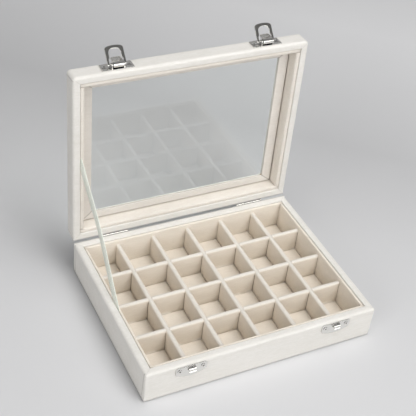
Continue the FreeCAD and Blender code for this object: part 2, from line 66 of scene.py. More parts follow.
BAR_WAVE = (26.0, 0.05)  # length and height of the waves in a strip's velvet
SIDES = ("front", "back", "left", "right")
Colour = tuple[float, float, float]
Place = tuple[float, float, float]


class Slot(Enum):
    """Names of the material slots, logged for new pieces."""

    VELVET = "velvet"
    LINING = "lining"
    FELT = "felt"
    NICKEL = "nickel"
    RIBBON = "ribbon"


class Body(Enum):
    """The bodies that carry new pieces."""

    BASE = "base"
    LID = "lid"
    LOOP_LEFT = "latch_loop_left"
    LOOP_RIGHT = "latch_loop_right"


# ---------------------------------------------------------------- surfaces


@dataclass
class Surface:
    """A closed surface of a piece.

    Attributes:
        points: Corner points in millimetres, one row each.
        quads: Four point numbers for each face.
        caps: Rings of point numbers that close the ends.
        painted_shading: For each point, painted shade from 0 on open cloth to 1 deep in folds, seams and
            gaps; below 0, a painted tone along rounded tops.
        weave: For each point, its place across and along a woven band, or None.
    """

    points: np.ndarray
    quads: np.ndarray
    caps: list[np.ndarray]
    painted_shading: np.ndarray
    weave: np.ndarray | None = None

    def volume(self) -> float:
        """The enclosed volume, negative where the faces point inwards."""
        fans = [np.stack([np.full(len(cap) - 2, cap[0]), cap[1:-1], cap[2:]], 1) for cap in self.caps]
        corners = self.points[np.concatenate([self.quads[:, :3], self.quads[:, [0, 2, 3]], *fans])]
        return float(np.einsum("ij,ij->i", corners[:, 0], np.cross(corners[:, 1], corners[:, 2])).sum() / 6)

    def outward(self) -> "Surface":
        """The same surface with its faces pointing outwards."""
        if self.volume() < 0:
            self.quads = self.quads[:, ::-1]
            self.caps = [cap[::-1] for cap in self.caps]
        return self


def gathered(*parts: Any) -> np.ndarray:
    """Parts of a grid's points, each repeated over the whole grid and gathered in a last axis."""
    return np.stack(np.broadcast_arrays(*parts), axis=-1)


def unit(vectors: np.ndarray) -> np.ndarray:
    """Vectors, in the last axis, brought to length 1."""
    return vectors / np.maximum(np.linalg.norm(vectors, axis=-1, keepdims=True), 1e-9)


def round_turn(steps: int) -> np.ndarray:
    """Angles all the way round a circle."""
    return np.linspace(0, 2 * np.pi, steps, endpoint=False)


def about_x(degrees: float) -> np.ndarray:
    """A matrix that turns about X; rows of points times it turn one way, and its transpose the other."""
    cos, sin = np.cos(np.radians(degrees)), np.sin(np.radians(degrees))
    return np.array([[1, 0, 0], [0, cos, sin], [0, -sin, cos]])


def loft(rings: np.ndarray, painted_shading: np.ndarray | None = None, close_rows: bool = False) -> Surface:
    """A skin over rings of points: ring i joins ring i + 1, and point j joins point j + 1 round the ring.

    Args:
        rings: Points by ring and place, of shape (rings, places, 3).
        painted_shading: Painted shading of each point, of shape (rings, places).
        close_rows: Whether the last ring joins the first; otherwise both end rings are capped.

    Returns:
        The closed surface, pointing outwards.
    """
    rows, columns, _ = rings.shape
    row = np.arange(rows if close_rows else rows - 1)[:, None]
    column = np.arange(columns)[None, :]
    next_row, next_column = (row + 1) % rows, (column + 1) % columns
    quads = gathered(row * columns + column, row * columns + next_column,
                     next_row * columns + next_column, next_row * columns + column).reshape(-1, 4)
    first = np.arange(columns)
    caps = [] if close_rows else [first[::-1], first + (rows - 1) * columns]
    shade = np.zeros((rows, columns)) if painted_shading is None else np.broadcast_to(painted_shading, (rows, columns))
    return Surface(rings.reshape(-1, 3), quads, caps, shade.reshape(-1)).outward()


def joined(surfaces: Sequence[Surface]) -> Surface:
    """Several surfaces as one, each keeping its own points.

    Args:
        surfaces: The surfaces.

    Returns:
        One surface of all their faces.
    """
    starts = np.cumsum([0] + [len(surface.points) for surface in surfaces[:-1]])
    return Surface(np.concatenate([surface.points for surface in surfaces]),
                   np.concatenate([surface.quads + start for surface, start in zip(surfaces, starts)]),
                   [cap + start for surface, start in zip(surfaces, starts) for cap in surface.caps],
                   np.concatenate([surface.painted_shading for surface in surfaces]))


def rounded_rectangles(half_x: np.ndarray, half_y: np.ndarray, radii: np.ndarray, corner_steps: int,
                       share_x: np.ndarray, share_y: np.ndarray) -> np.ndarray:
    """Rectangles about the origin with round corners, as rings that start at the +X side.

    A corner's points are its centre plus its radius times (cos t, sin t) over a quarter turn; a side's
    points lie at given shares of the way between two corners.

    Args:
        half_x: Half width of each ring.
        half_y: Half depth of each ring.
        radii: Corner radii of each ring, from (+, +) round to (+, -), of shape (rings, 4).
        corner_steps: Steps in a corner.
        share_x: Shares of the way along a side that runs along X.
        share_y: Shares of the way along a side that runs along Y.

    Returns:
        Points of shape (rings, places, 2).
    """
    arcs = []
    for quarter, (sign_x, sign_y) in enumerate(((1, 1), (-1, 1), (-1, -1), (1, -1))):
        turn = np.linspace(0, QUARTER, corner_steps + 1) + quarter * QUARTER
        radius = radii[:, quarter, None]
        arcs.append(np.stack([sign_x * (half_x[:, None] - radius) + radius * np.cos(turn),
                              sign_y * (half_y[:, None] - radius) + radius * np.sin(turn)], axis=-1))
    pieces = []
    for quarter, arc in enumerate(arcs):
        share = (share_x, share_y)[quarter % 2][None, :, None]
        pieces += [arc, arc[:, -1:] * (1 - share) + arcs[(quarter + 1) % 4][:, :1] * share]
    return np.concatenate(pieces, axis=1)


def raised(flat: np.ndarray, height: np.ndarray) -> np.ndarray:
    """Flat rings, each put at its own height."""
    return np.concatenate([flat, np.broadcast_to(height[:, None, None], (*flat.shape[:2], 1))], axis=-1)


def end_shares(length: float, fine: float, fine_steps: int, steps: int) -> np.ndarray:
    """Shares of the way along a side, close together near its two ends.

    Args:
        length: Length of the side.
        fine: Length of each fine stretch.
        fine_steps: Steps in a fine stretch.
        steps: Steps between the two.

    Returns:
        Shares between 0 and 1, both left out.
    """
    near = np.linspace(0, fine, fine_steps + 1)
    middle = np.linspace(fine, length - fine, steps + 1)[1:]
    places = np.concatenate([near, middle, length - near[::-1][1:]])
    return places[1:-1] / length


def arc(radius: float, steps: int = 7) -> tuple[np.ndarray, np.ndarray]:
    """A quarter round: radius times (1 - cos t) and radius times sin t.

    Args:
        radius: Its radius.
        steps: Its steps.

    Returns:
        How far it has come inwards and how far along, from 0 to the radius.
    """
    turn = np.linspace(0, QUARTER, steps + 1)
    return radius * (1 - np.cos(turn)), radius * np.sin(turn)


def bump(distance: np.ndarray, width: float) -> np.ndarray:
    """A bell of height 1 over distance 0: exp(-(distance / width) squared)."""
    return np.exp(-(distance / width) ** 2)


def ease(value: np.ndarray) -> np.ndarray:
    """A smooth step from 0 to 1: 3 v squared - 2 v cubed, with v held between 0 and 1."""
    held = np.clip(value, 0, 1)
    return held * held * (3 - 2 * held)


def ripple(points: np.ndarray, size: float, height: float, seed: int) -> np.ndarray:
    """Gentle unevenness: the mean of six sine waves with seeded directions, lengths and phases.

    Args:
        points: Points, in the last axis.
        size: About how long the waves are.
        height: How high their sum may be.
        seed: Seed of the directions, lengths and phases.

    Returns:
        A height for each point.
    """
    chance = np.random.default_rng(seed)
    way = chance.normal(size=(6, 3))
    way *= (2 * np.pi / (size * chance.uniform(0.6, 1.7, 6)) / np.linalg.norm(way, axis=1))[:, None]
    return height * np.sin(points @ way.T + chance.uniform(0, 2 * np.pi, 6)).mean(axis=-1)


def ring_normals(rings: np.ndarray, close_rows: bool) -> np.ndarray:
    """Unit normals of a grid of rings: the cross product of its steps round and along.

    Args:
        rings: Points of shape (rings, places, 3).
        close_rows: Whether the last ring joins the first.

    Returns:
        Normals of the same shape.
    """
    around = np.roll(rings, -1, axis=1) - np.roll(rings, 1, axis=1)
    if close_rows:
        along = np.roll(rings, -1, axis=0) - np.roll(rings, 1, axis=0)
    else:
        along = np.gradient(rings, axis=0)
    return unit(np.cross(around, along))


def rolled_ends(start: float, end: float, radius: float,
                inner: np.ndarray) -> tuple[np.ndarray, np.ndarray]:
    """A bar's length with rolled ends: they draw in by r (1 - sin t) while they come on by r (1 - cos t).

    Args:
        start: Where the bar starts.
        end: Where it ends.
        radius: Radius r of its end edges.
        inner: Places between them.

    Returns:
        Places along the bar and how far its section draws in at each.
    """
    turn = np.linspace(0, QUARTER, 6)
    come, draw = radius * (1 - np.cos(turn)), radius * (1 - np.sin(turn))
    return (np.concatenate([start + come, inner, (end - come)[::-1]]),
            np.concatenate([draw, np.zeros(len(inner)), draw[::-1]]))


def soft_bar(low: Sequence[float], high: Sequence[float], radii: Sequence[float], end_radius: float,
             swell: float = 0.0, seed: int = 1) -> Surface:
    """A cloth-covered strip between two corners, with its own radius on each long edge.

    Its section is a round-cornered rectangle carried along X between rolled ends. At u across and v up
    its sides swell by a height times (1 - v squared) and its top and underside by (1 - u squared).

    Args:
        low: Lowest corner.
        high: Highest corner.
        radii: Edge radii at (+Y, +Z), (-Y, +Z), (-Y, -Z) and (+Y, -Z).
        end_radius: Radius of the end edges.
        swell: How far the faces swell.
        seed: Seed of its unevenness.

    Returns:
        The strip.
    """
    low, high = np.asarray(low, float), np.asarray(high, float)
    middle, half = (low + high) / 2, (high - low) / 2
    inner = np.linspace(-half[0] + end_radius, half[0] - end_radius, 42)[1:-1]
    along, inset = rolled_ends(-half[0], half[0], end_radius, inner)
    share = np.linspace(0, 1, 9)[1:-1]
    corner = np.maximum(np.asarray(radii, float)[None, :] - inset[:, None], LEAST_EDGE)
    section = rounded_rectangles(half[1] - inset, half[2] - inset, corner, 5, share, share)
    across, up = section[..., 0] / half[1], section[..., 1] / half[2]
    fill = swell * (1 - (along / half[0])[:, None] ** 8)
    rings = gathered(along[:, None],
                     section[..., 0] + fill * np.sign(across) * (1 - up ** 2) * np.abs(across) ** 6,
                     section[..., 1] + fill * np.sign(up) * (1 - across ** 2) * np.abs(up) ** 6)
    rings += ring_normals(rings, False) * ripple(rings, *BAR_WAVE, seed)[..., None]
    # Painted shade towards the strip's ends, where it meets the next piece.
    ends = 0.3 * bump(half[0] - np.abs(along), 0.5)[:, None]
    return loft(rings + middle, ends)


def quarter_turned(surface: Surface) -> Surface:
    """The surface turned a quarter about Z: (x, y, z) goes to (-y, x, z)."""
    surface.points = surface.points @ np.array([[0, 1, 0], [-1, 0, 0], [0, 0, 1]])
    return surface


@dataclass(frozen=True)
class HingeLine:
    """The line that the lid swings about.

    Attributes:
        y: Its place behind the middle.
        z: Its height.
        opening: How far the lid stands open, in degrees.
    """

    y: float = 78.1
    z: float = 30.15
    opening: float = 91.0

    def opened(self, surface: Surface) -> Surface:
        """A lid piece swung from shut to open.

        Args:
            surface: The piece with the lid shut.

        Returns:
            The piece turned about X by minus the opening angle.
        """
        origin = np.array([0, self.y, self.z])
        surface.points = (surface.points - origin) @ about_x(self.opening).T + origin
        return surface


HINGE = HingeLine()


def link(name: str, data: bpy.types.ID) -> bpy.types.Object:
    """A new object in the scene that shows a mesh, lamp or camera."""
    thing = bpy.data.objects.new(name, data)
    bpy.context.scene.collection.objects.link(thing)
    return thing


def link_mesh(name: str, points: np.ndarray, faces: list[list[int]],
              finish: bpy.types.Material) -> bpy.types.Object:
    """A new smooth mesh in the scene.

    Args:
        name: Name of the mesh and its object.
        points: Its points in metres.
        faces: Point numbers of each face.
        finish: Its material.

    Returns:
        The new object.
    """
    mesh = bpy.data.meshes.new(name)
    mesh.from_pydata(points.tolist(), [], faces)
    mesh.polygons.foreach_set("use_smooth", np.ones(len(mesh.polygons), bool))
    mesh.materials.append(finish)
    return link(name, mesh)


def stand(thing: bpy.types.Object, right: np.ndarray, up: np.ndarray, back: np.ndarray,
          place: Sequence[float]) -> None:
    """Turns a lamp or camera by its three axes, and puts it in its place in metres."""
    axes = np.eye(4)
    axes[:3] = np.stack([right, up, back, place], axis=1)
    thing.matrix_world = Matrix(axes.tolist())


def add_piece(name: str, surface: Surface, finish: bpy.types.Material, slot: Slot,
              body: Body | None, replaced: Sequence[str] = ()) -> bpy.types.Object:
    """Puts a surface into the scene as a smooth mesh that rides on a body.

    Args:
        name: Name of the piece.
        surface: Its surface.
        finish: Its material.
        slot: The record's slot for its material.
        body: The body that it rides on, or None if it bends between two.
        replaced: The nodes that it stands for.

    Returns:
        The new object.
    """
    faces = surface.quads.tolist() + [cap.tolist() for cap in surface.caps]
    piece = link_mesh(name, surface.points * METRES, faces, finish)
    mesh = piece.data
    # The painted shading goes onto the mesh as a point attribute that the materials read.
    painted_shading = mesh.attributes.new("painted_shading", "FLOAT", "POINT")
    painted_shading.data.foreach_set("value", surface.painted_shading.astype(np.float32))
    if surface.weave is not None:
        corner_points = np.empty(len(mesh.loops), np.int32)
        mesh.loops.foreach_get("vertex_index", corner_points)
        layer = mesh.uv_layers.new(name="weave")
        layer.uv.foreach_set("vector", surface.weave[corner_points].astype(np.float32).ravel())
    if body is not None:
        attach(piece, body.value)
    if replaced:
        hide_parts(*replaced)
    LOG.info("%s: %d faces, %s", name, len(faces), slot.value)
    return piece


def cover(node: str, surface: Surface, finish: bpy.types.Material, body: Body) -> bpy.types.Object:
    """Puts a velvet-covered piece of the lining in the place of its node."""
    return add_piece("velvet_" + node, surface, finish, Slot.LINING, body, [node])


def dress_nodes(names: Sequence[str], finish: bpy.types.Material) -> None:
    """Gives carried-over nodes their material.

    Args:
        names: The nodes.
        finish: The material.
    """
    for name in names:
        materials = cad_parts[name].data.materials
        materials.clear()
        materials.append(finish)
        LOG.info("%s: %s", name, finish.name)


# ---------------------------------------------------------------- finishes


def math_method(operation: str, reflected: bool = False) -> Callable[["Value", Any], "Value"]:
    """A method of a value for one of Python's operators, or for its reflected form."""

    def method(self: "Value", other: Any) -> "Value":
        """The result of a Math node on the two operands."""
        return self.recipe.math(operation, *((other, self) if reflected else (self, other)))

    return method


class Value:
    """A number in a material's node tree; Python's operators add Math nodes."""

    def __init__(self, recipe: "Recipe", socket: bpy.types.NodeSocket) -> None:
        """Wraps an output socket of a recipe's tree."""
        self.recipe = recipe
        self.socket = socket

    __add__, __radd__ = math_method("ADD"), math_method("ADD", True)
    __sub__, __rsub__ = math_method("SUBTRACT"), math_method("SUBTRACT", True)
    __mul__, __rmul__ = math_method("MULTIPLY"), math_method("MULTIPLY", True)
    __pow__, __rpow__ = math_method("POWER"), math_method("POWER", True)


class Recipe:
    """The node tree of one material, or of the room."""

    def __init__(self, name: str, room: bool = False) -> None:
        """Starts an empty tree of a new material, or of a new world that the scene takes."""
        self.material = (bpy.data.worlds if room else bpy.data.materials).new(name)
        self.material.use_nodes = True
        self.tree = self.material.node_tree
        self.tree.nodes.clear()
        if room:
            bpy.context.scene.world = self.material

    def node(self, kind: str, settings: dict[str, Any] | None = None,
             inputs: dict[Any, Any] | None = None) -> bpy.types.Node:
        """Adds a node.

        Args:
            kind: Its type.
            settings: Its properties, set first; "stops" gives a ramp's (place, colour) pairs.
            inputs: Values or links of its sockets, by name or number; a colour needs no alpha.

        Returns:
            The node.
        """
        node = self.tree.nodes.new(kind)
        for name, setting in (settings or {}).items():
            if name == "stops":
                elements = node.color_ramp.elements
                for number, (place, colour) in enumerate(setting):
                    element = elements[number] if number < 2 else elements.new(place)
                    element.position, element.color = place, (*colour, 1)
            else:
                setattr(node, name, setting)
        for key, given in (inputs or {}).items():
            source = given.socket if isinstance(given, Value) else given
            socket = node.inputs[key]
            if isinstance(source, bpy.types.NodeSocket):
                self.tree.links.new(source, socket)
            else:
                socket.default_value = (*source, 1) if socket.type == "RGBA" else source
        return node

    def value(self, kind: str, settings: dict[str, Any] | None = None,
              inputs: dict[Any, Any] | None = None, output: int | str = 0) -> Value:
        """A node's output as a number."""
        return Value(self, self.node(kind, settings, inputs).outputs[output])

    def math(self, operation: str, *numbers: Any) -> Value:
        """The result of a Math node."""
        return self.value("ShaderNodeMath", {"operation": operation}, dict(enumerate(numbers)))

    def clamp(self, given: Value) -> Value:
        """A value held between 0 and 1."""
        return self.value("ShaderNodeClamp", None, {0: given})

    def parts(self, vector: bpy.types.NodeSocket) -> list[Value]:
        """A vector's three parts."""
        split = self.node("ShaderNodeSeparateXYZ", None, {0: vector})
        return [Value(self, output) for output in split.outputs]

    def place(self, scale: Place = (1.0, 1.0, 1.0)) -> bpy.types.NodeSocket:
        """The place on the piece in metres, scaled along its three axes."""
        place = self.node("ShaderNodeTexCoord").outputs["Object"]
        return self.node("ShaderNodeMapping", None, {"Vector": place, "Scale": scale}).outputs[0]

    def noise(self, place: bpy.types.NodeSocket, scale: float, detail: float, roughness: float = 0.5,
              distortion: float = 0.0) -> Value:
        """Cloudy noise from 0 to 1, with so many clouds in a metre."""
        return self.value("ShaderNodeTexNoise", None, {
            "Vector": place, "Scale": scale, "Detail": detail, "Roughness": roughness,
            "Distortion": distortion})

    def painted_shading(self) -> Value:
        """The piece's painted shading: painted shade in folds, seams and gaps above 0, a painted tone along
        rounded tops below 0.
        """
        return self.value("ShaderNodeAttribute", {"attribute_name": "painted_shading"}, None, "Fac")

    def mix(self, share: Any, first: Any, second: Any) -> bpy.types.NodeSocket:
        """The colour between two, by a share."""
        return self.node("ShaderNodeMix", {"data_type": "RGBA"}, {0: share, 6: first, 7: second}).outputs[2]

    def relief(self, height: Value, strength: float, depth: float, **more: Any) -> bpy.types.NodeSocket:
        """A normal raised by a height, to a depth in metres."""
        return self.node("ShaderNodeBump", None, {
            "Strength": strength, "Distance": depth, "Height": height, **more}).outputs[0]

    def finish(self, shader: bpy.types.Node) -> bpy.types.Material:
        """Links the shader to the output and gives the material."""
        self.node("ShaderNodeOutputMaterial", None, {"Surface": shader.outputs[0]})
        return self.material

    def solid(self, inputs: dict[str, Any]) -> bpy.types.Material:
        """Finishes the material with a Principled shader of the given inputs."""
        return self.finish(self.node("ShaderNodeBsdfPrincipled", None, inputs))


def tint(red: int, green: int, blue: int) -> Colour:
    """A colour as written, in 0 to 255, turned to linear light by the sRGB curve."""
    return tuple(part / 3294.6 if part <= 10 else ((part / 255 + 0.055) / 1.055) ** 2.4
                 for part in (red, green, blue))


@dataclass(frozen=True)
class VelvetFinish:
    """Short-pile velvet: brushed patches, a fine nap, a sheen, painted shade in folds, seams and gaps and a
    painted tone along rounded tops.

    Attributes:
        name: Name of the material.
        colour: The pile brushed up.
        shade: The pile brushed down.
        fold: The painted shade colour deep in folds, seams and gaps.
        crown: The painted tone along rounded tops, a greyer colour standing in for how light falls on them.
        painted_shade_strength: How far the painted shading goes towards the painted shade colour.
        sheen: Strength of the sheen.
        patch: Brushed patches in a metre.
        grain: Brush marks in a metre.
        nap: Tufts in a metre.
    """

    name: str
    colour: Colour
    shade: Colour
    fold: Colour
    # Painted tone along rounded tops.
    crown: Colour = tint(222, 218, 211)
    painted_shade_strength: float = 0.7
    sheen: float = 0.25
    patch: float = 70.0
    grain: float = 640.0
    nap: float = 2400.0

    def material(self) -> bpy.types.Material:
        """Builds the material."""
        recipe = Recipe(self.name)
        drawn = recipe.place((0.35, 1.0, 1.6))
        brushed = recipe.noise(drawn, self.patch, 4.0, 0.6, 0.4)
        grain = recipe.noise(drawn, self.grain, 3.0, 0.7)
        tufts = recipe.noise(recipe.place(), self.nap, 2.0)
        painted_shading = recipe.painted_shading()
        down = recipe.clamp((brushed - 0.5) * 1.4 + (tufts - 0.5) * 0.8 + (grain - 0.5) * 1.8 + 0.45)
        pile = recipe.mix(down, self.colour, self.shade)
        # Painted shade: the colour goes towards the fold colour where the painted shading is above 0.
        shaded_pile = recipe.mix(recipe.clamp(painted_shading * self.painted_shade_strength), pile, self.fold)
        return recipe.solid({
            # Painted tone: the colour goes towards the crown colour where the painted shading is below 0.
            "Base Color": recipe.mix(recipe.clamp(painted_shading * -1.0), shaded_pile, self.crown),
            "Roughness": tufts * 0.2 + 0.78,
            "Normal": recipe.relief(tufts + grain * 0.8 + brushed * 0.6, 0.35, 0.00012),
            "Specular IOR Level": 0.2, "Sheen Weight": self.sheen, "Sheen Roughness": 0.45,
            "Sheen Tint": (1.0, 0.98, 0.95)})


@dataclass(frozen=True)
class FeltFinish:
    """Pressed felt with tangled fibres.

    Attributes:
        colour: The felt.
        shade: Its hollows.
    """

    colour: Colour
    shade: Colour

    def material(self) -> bpy.types.Material:
        """Builds the material."""
        recipe = Recipe("pressed_felt")
        fibres = recipe.noise(recipe.place(), 1500.0, 6.0, 0.7, 2.5)
        return recipe.solid({
            "Base Color": recipe.mix(fibres, self.shade, self.colour), "Roughness": fibres * 0.1 + 0.85,
            "Normal": recipe.relief(fibres, 0.6, 0.0002), "Specular IOR Level": 0.15, "Sheen Weight": 0.15})


@dataclass(frozen=True)
class BoardFinish:
    """Fibreboard: pressed wood fibre with darker flecks.

    Attributes:
        colour: The board.
        fleck: Its flecks.
    """

    colour: Colour
    fleck: Colour

    def material(self) -> bpy.types.Material:
        """Builds the material."""
        recipe = Recipe("fibreboard")
        flecks = recipe.noise(recipe.place(), 900.0, 5.0, 0.75)
        return recipe.solid({
            "Base Color": recipe.mix(flecks ** 2.0, self.colour, self.fleck),
            "Roughness": flecks * 0.2 + 0.7, "Normal": recipe.relief(flecks, 0.3, 0.0001)})


@dataclass(frozen=True)
class NickelFinish:
    """Polished nickel plate: fine scuffs, softened edges, a faint warmth and painted shade in recesses and
    gaps.

    Attributes:
        colour: The plate.
        worn: The plate where it is scuffed.
        recess: The painted shade colour in screw recesses, round the screw heads and in gaps between parts.
        edge: Radius of the edges, in metres.
        hollow: Width of a gap that gets painted shade, in metres.
    """

    colour: Colour
    worn: Colour
    recess: Colour
    edge: float = 0.00018
    hollow: float = 0.0025

    def material(self) -> bpy.types.Material:
        """Builds the material."""
        recipe = Recipe("polished_nickel")
        scuffs = recipe.noise(recipe.place((0.15, 1.0, 1.0)), 2600.0, 4.0)
        clouds = recipe.noise(recipe.place(), 260.0, 3.0)
        soft = recipe.node("ShaderNodeBevel", {"samples": 6}, {"Radius": self.edge}).outputs[0]
        gap = {"Distance": self.hollow}
        open_air = recipe.value("ShaderNodeAmbientOcclusion", {"samples": 8}, gap, "AO")
        # Painted shade: the screws' painted shading and ambient occlusion darken the colour towards the
        # recess colour.
        painted_shade = recipe.clamp(recipe.painted_shading() + (0.62 - open_air) * 2.4)
        plate = recipe.mix(clouds, self.colour, self.worn)
        return recipe.solid({
            "Base Color": recipe.mix(painted_shade, plate, self.recess), "Metallic": 1.0,
            "Roughness": clouds * 0.12 + scuffs * 0.06 + 0.06,
            "Normal": recipe.relief(scuffs, 0.05, 0.00005, Normal=soft)})


@dataclass(frozen=True)
class PaneFinish:
    """Clear float glass that lets the lamps through.

    Attributes:
        colour: Tint of the glass.
    """

    colour: Colour = (0.965, 0.985, 0.978)

    def material(self) -> bpy.types.Material:
        """Builds the material: glass, and plain see-through for rays from the lamps."""
        recipe = Recipe("clear_pane")
        glass = recipe.node("ShaderNodeBsdfPrincipled", None, {
            "Base Color": self.colour, "Roughness": 0.0, "IOR": 1.52, "Transmission Weight": 1.0})
        clear = recipe.node("ShaderNodeBsdfTransparent", None, {"Color": self.colour})
        path = recipe.node("ShaderNodeLightPath")
        return recipe.finish(recipe.node("ShaderNodeMixShader", None, {
            0: path.outputs["Is Shadow Ray"], 1: glass.outputs[0], 2: clear.outputs[0]}))


@dataclass(frozen=True)
class RibbonFinish:
    """Sheer woven ribbon: fine threads both ways, closer at its two selvedges.

    Attributes:
        colour: The threads.
        shade: The threads in shade.
        pitch: Threads across the ribbon.
        selvedge: Share of the half width at which a selvedge begins.
    """

    colour: Colour
    shade: Colour
    pitch: float = 22.0
    selvedge: float = 0.84

    def material(self) -> bpy.types.Material:
        """Builds the material; the map's u runs from -1 to 1 across and v counts widths along."""
        recipe = Recipe("sheer_ribbon")
        across, along, _ = recipe.parts(recipe.node("ShaderNodeUVMap", {"uv_map": "weave"}).outputs[0])
        warp = recipe.math("SINE", across * (self.pitch * np.pi))
        weft = recipe.math("SINE", along * (self.pitch * 2 * np.pi))
        threads = warp * weft * 0.5 + 0.5
        selvedge = recipe.math("GREATER_THAN", recipe.math("ABSOLUTE", across), self.selvedge)
        return recipe.solid({
            "Base Color": recipe.mix(threads, self.shade, self.colour), "Roughness": threads * 0.15 + 0.45,
            "Normal": recipe.relief(threads, 0.4, 0.0001), "Sheen Weight": 0.3,
            "Alpha": recipe.clamp(threads * 0.2 + selvedge * 0.35 + 0.62)})


# ---------------------------------------------------------------- the box


@dataclass
class Profile:
    """A closed section through the cloth of a wall.

    Attributes:
        inset_x: Inset of each point from the sides.
        inset_y: Inset of each point from the front and back.
        height: Height of each point.
        corner: Corner radius at each point.
        open_rows: How many points, from the first, lie on the cloth's outer face.
    """

    inset_x: np.ndarray
    inset_y: np.ndarray
    height: np.ndarray
    corner: np.ndarray
    open_rows: int


@dataclass
class Wrap:
    """Velvet drawn over a frame of boards: sizes that the base and the lid share.

    Attributes:
        half_width: Half the box's width.
        half_depth: Half the box's depth.
        wall: Wall with its velvet.
        skin: Cloth thickness, a little under the real one so that it clears the boards.
        edge: Radius of the outer edges.
        corner: Radius of the upright corners.
        hinge_corner: Radius of the upright corners beside the hinges.
        hinge_edge: Radius of a rim's edge along the hinges.
        inner_edge: Radius of the rim's inner edge.
        least_corner: Least radius of a corner inside the outer face.
        bevel: Bevel of the boards beneath the outer edges.
        seam_back: How far the cloth's end lies behind a front corner, at the rim.
        seam_slant: How much further it lies at the other end.
        seam_length: Over which height it slants.
        seam_wave: Length of the waves in which it strays from its line.
        seam_wander: How far it strays.
        groove: Width of the seam's groove.
        groove_depth: Depth of the groove.
        ridge: Height of the ridge in front of it.
        waves: Lengths and heights of the cloth's long and short waves.
    """

    half_width: float = 100.0
    half_depth: float = 77.2
    wall: float = 6.2
    skin: float = 0.55
    edge: float = 2.2
    corner: float = 1.3
    hinge_corner: float = 1.0
    hinge_edge: float = 0.5
    inner_edge: float = 0.9
    least_corner: float = 0.3
    bevel: float = 1.83
    seam_back: float = 2.6
    seam_slant: float = 1.8
    seam_length: float = 28.0
    seam_wave: float = 14.0
    seam_wander: float = 0.35
    groove: float = 0.32
    groove_depth: float = 0.3
    ridge: float = 0.12
    waves: tuple[tuple[float, float], ...] = ((38.0, 0.09), (11.0, 0.035))

    def rings(self, profile: Profile) -> np.ndarray:
        """A profile carried round the box: each of its points is a round-cornered rectangle.

        Args:
            profile: The profile.

        Returns:
            Points of shape (profile points, places round the box, 3).
        """
        share_x = end_shares(2 * (self.half_width - self.edge), 7.0, 20, 40)
        share_y = end_shares(2 * (self.half_depth - self.edge), 7.0, 20, 32)
        flat = rounded_rectangles(self.half_width - profile.inset_x, self.half_depth - profile.inset_y,
                                  np.repeat(profile.corner[:, None], 4, axis=1), 10, share_x, share_y)
        return raised(flat, profile.height)

    def shell(self, section: Callable[[float, float], Profile], rim: float, seed: int,
              bottom_shade: float = 0.0) -> Surface:
        """Carries a closed profile round the box, then gives the cloth its unevenness and its seams.

        The profile is soft all round and eases to a crisp one along the hinges. A seam runs up each side
        near a corner: a groove as deep as exp(-(d / w) squared) with a ridge in front of it, with painted
        shade in the groove, and on the rim a faint painted shade line runs along the mitre. Its lip along
        the hinges and its bottom edge get painted shade.

        Args:
            section: Gives the profile for a rim's edge radius and an upright corner's radius.
            rim: Height of the rim.
            seed: Seed of the unevenness.
            bottom_shade: How dark the painted shade is along the bottom edge, where the cloth turns under.

        Returns:
            The shell.
        """
        soft, crisp = section(self.edge, self.corner), section(self.hinge_edge, self.hinge_corner)
        rings = self.rings(soft)
        far = rings[np.argmin(soft.inset_y)]
        hinged = ease((far[:, 1] - self.half_depth + 3) / 2.4)[None, :, None]
        rings = rings * (1 - hinged) + self.rings(crisp) * hinged
        outer = (np.arange(len(rings)) < soft.open_rows)[:, None]
        uneven = sum(ripple(rings, *wave, seed + number) for number, wave in enumerate(self.waves))
        rings += outer[..., None] * ring_normals(rings, True) * uneven[..., None]
        x, y, z = (rings[..., part] for part in range(3))
        stray = ripple(rings, self.seam_wave, self.seam_wander, seed + 2)
        slant = self.seam_slant * np.clip(np.abs(z - rim) / self.seam_length, 0, 1)
        behind = self.half_depth - np.abs(y) - self.seam_back - stray - slant
        side = outer * ease((np.abs(x) - self.half_width + 1.2) / 0.9)
        pressed = self.ridge * bump(behind + 0.9, 0.7) - self.groove_depth * bump(behind, self.groove)
        x += np.sign(x) * side * pressed
        mitre = (self.half_width - np.abs(x)) - (self.half_depth - np.abs(y))
        on_rim = outer * ease((2.6 - np.abs(z - rim)) / 1.6)
        lip = np.hypot(self.half_depth - y, z - rim)
        # Painted shading: shade in the seam grooves, a faint shade line along the rim's mitres, shade along
        # the bottom edge and shade on the lips along the hinges.
        painted_shading = np.maximum.reduce([
            0.6 * side * bump(behind, 0.38), 0.18 * on_rim * bump(mitre, 0.3),
            bottom_shade * outer * bump(z - z.min(), 0.9), outer * hinged[..., 0] * bump(lip, 0.6)])
        return loft(rings, painted_shading, close_rows=True)


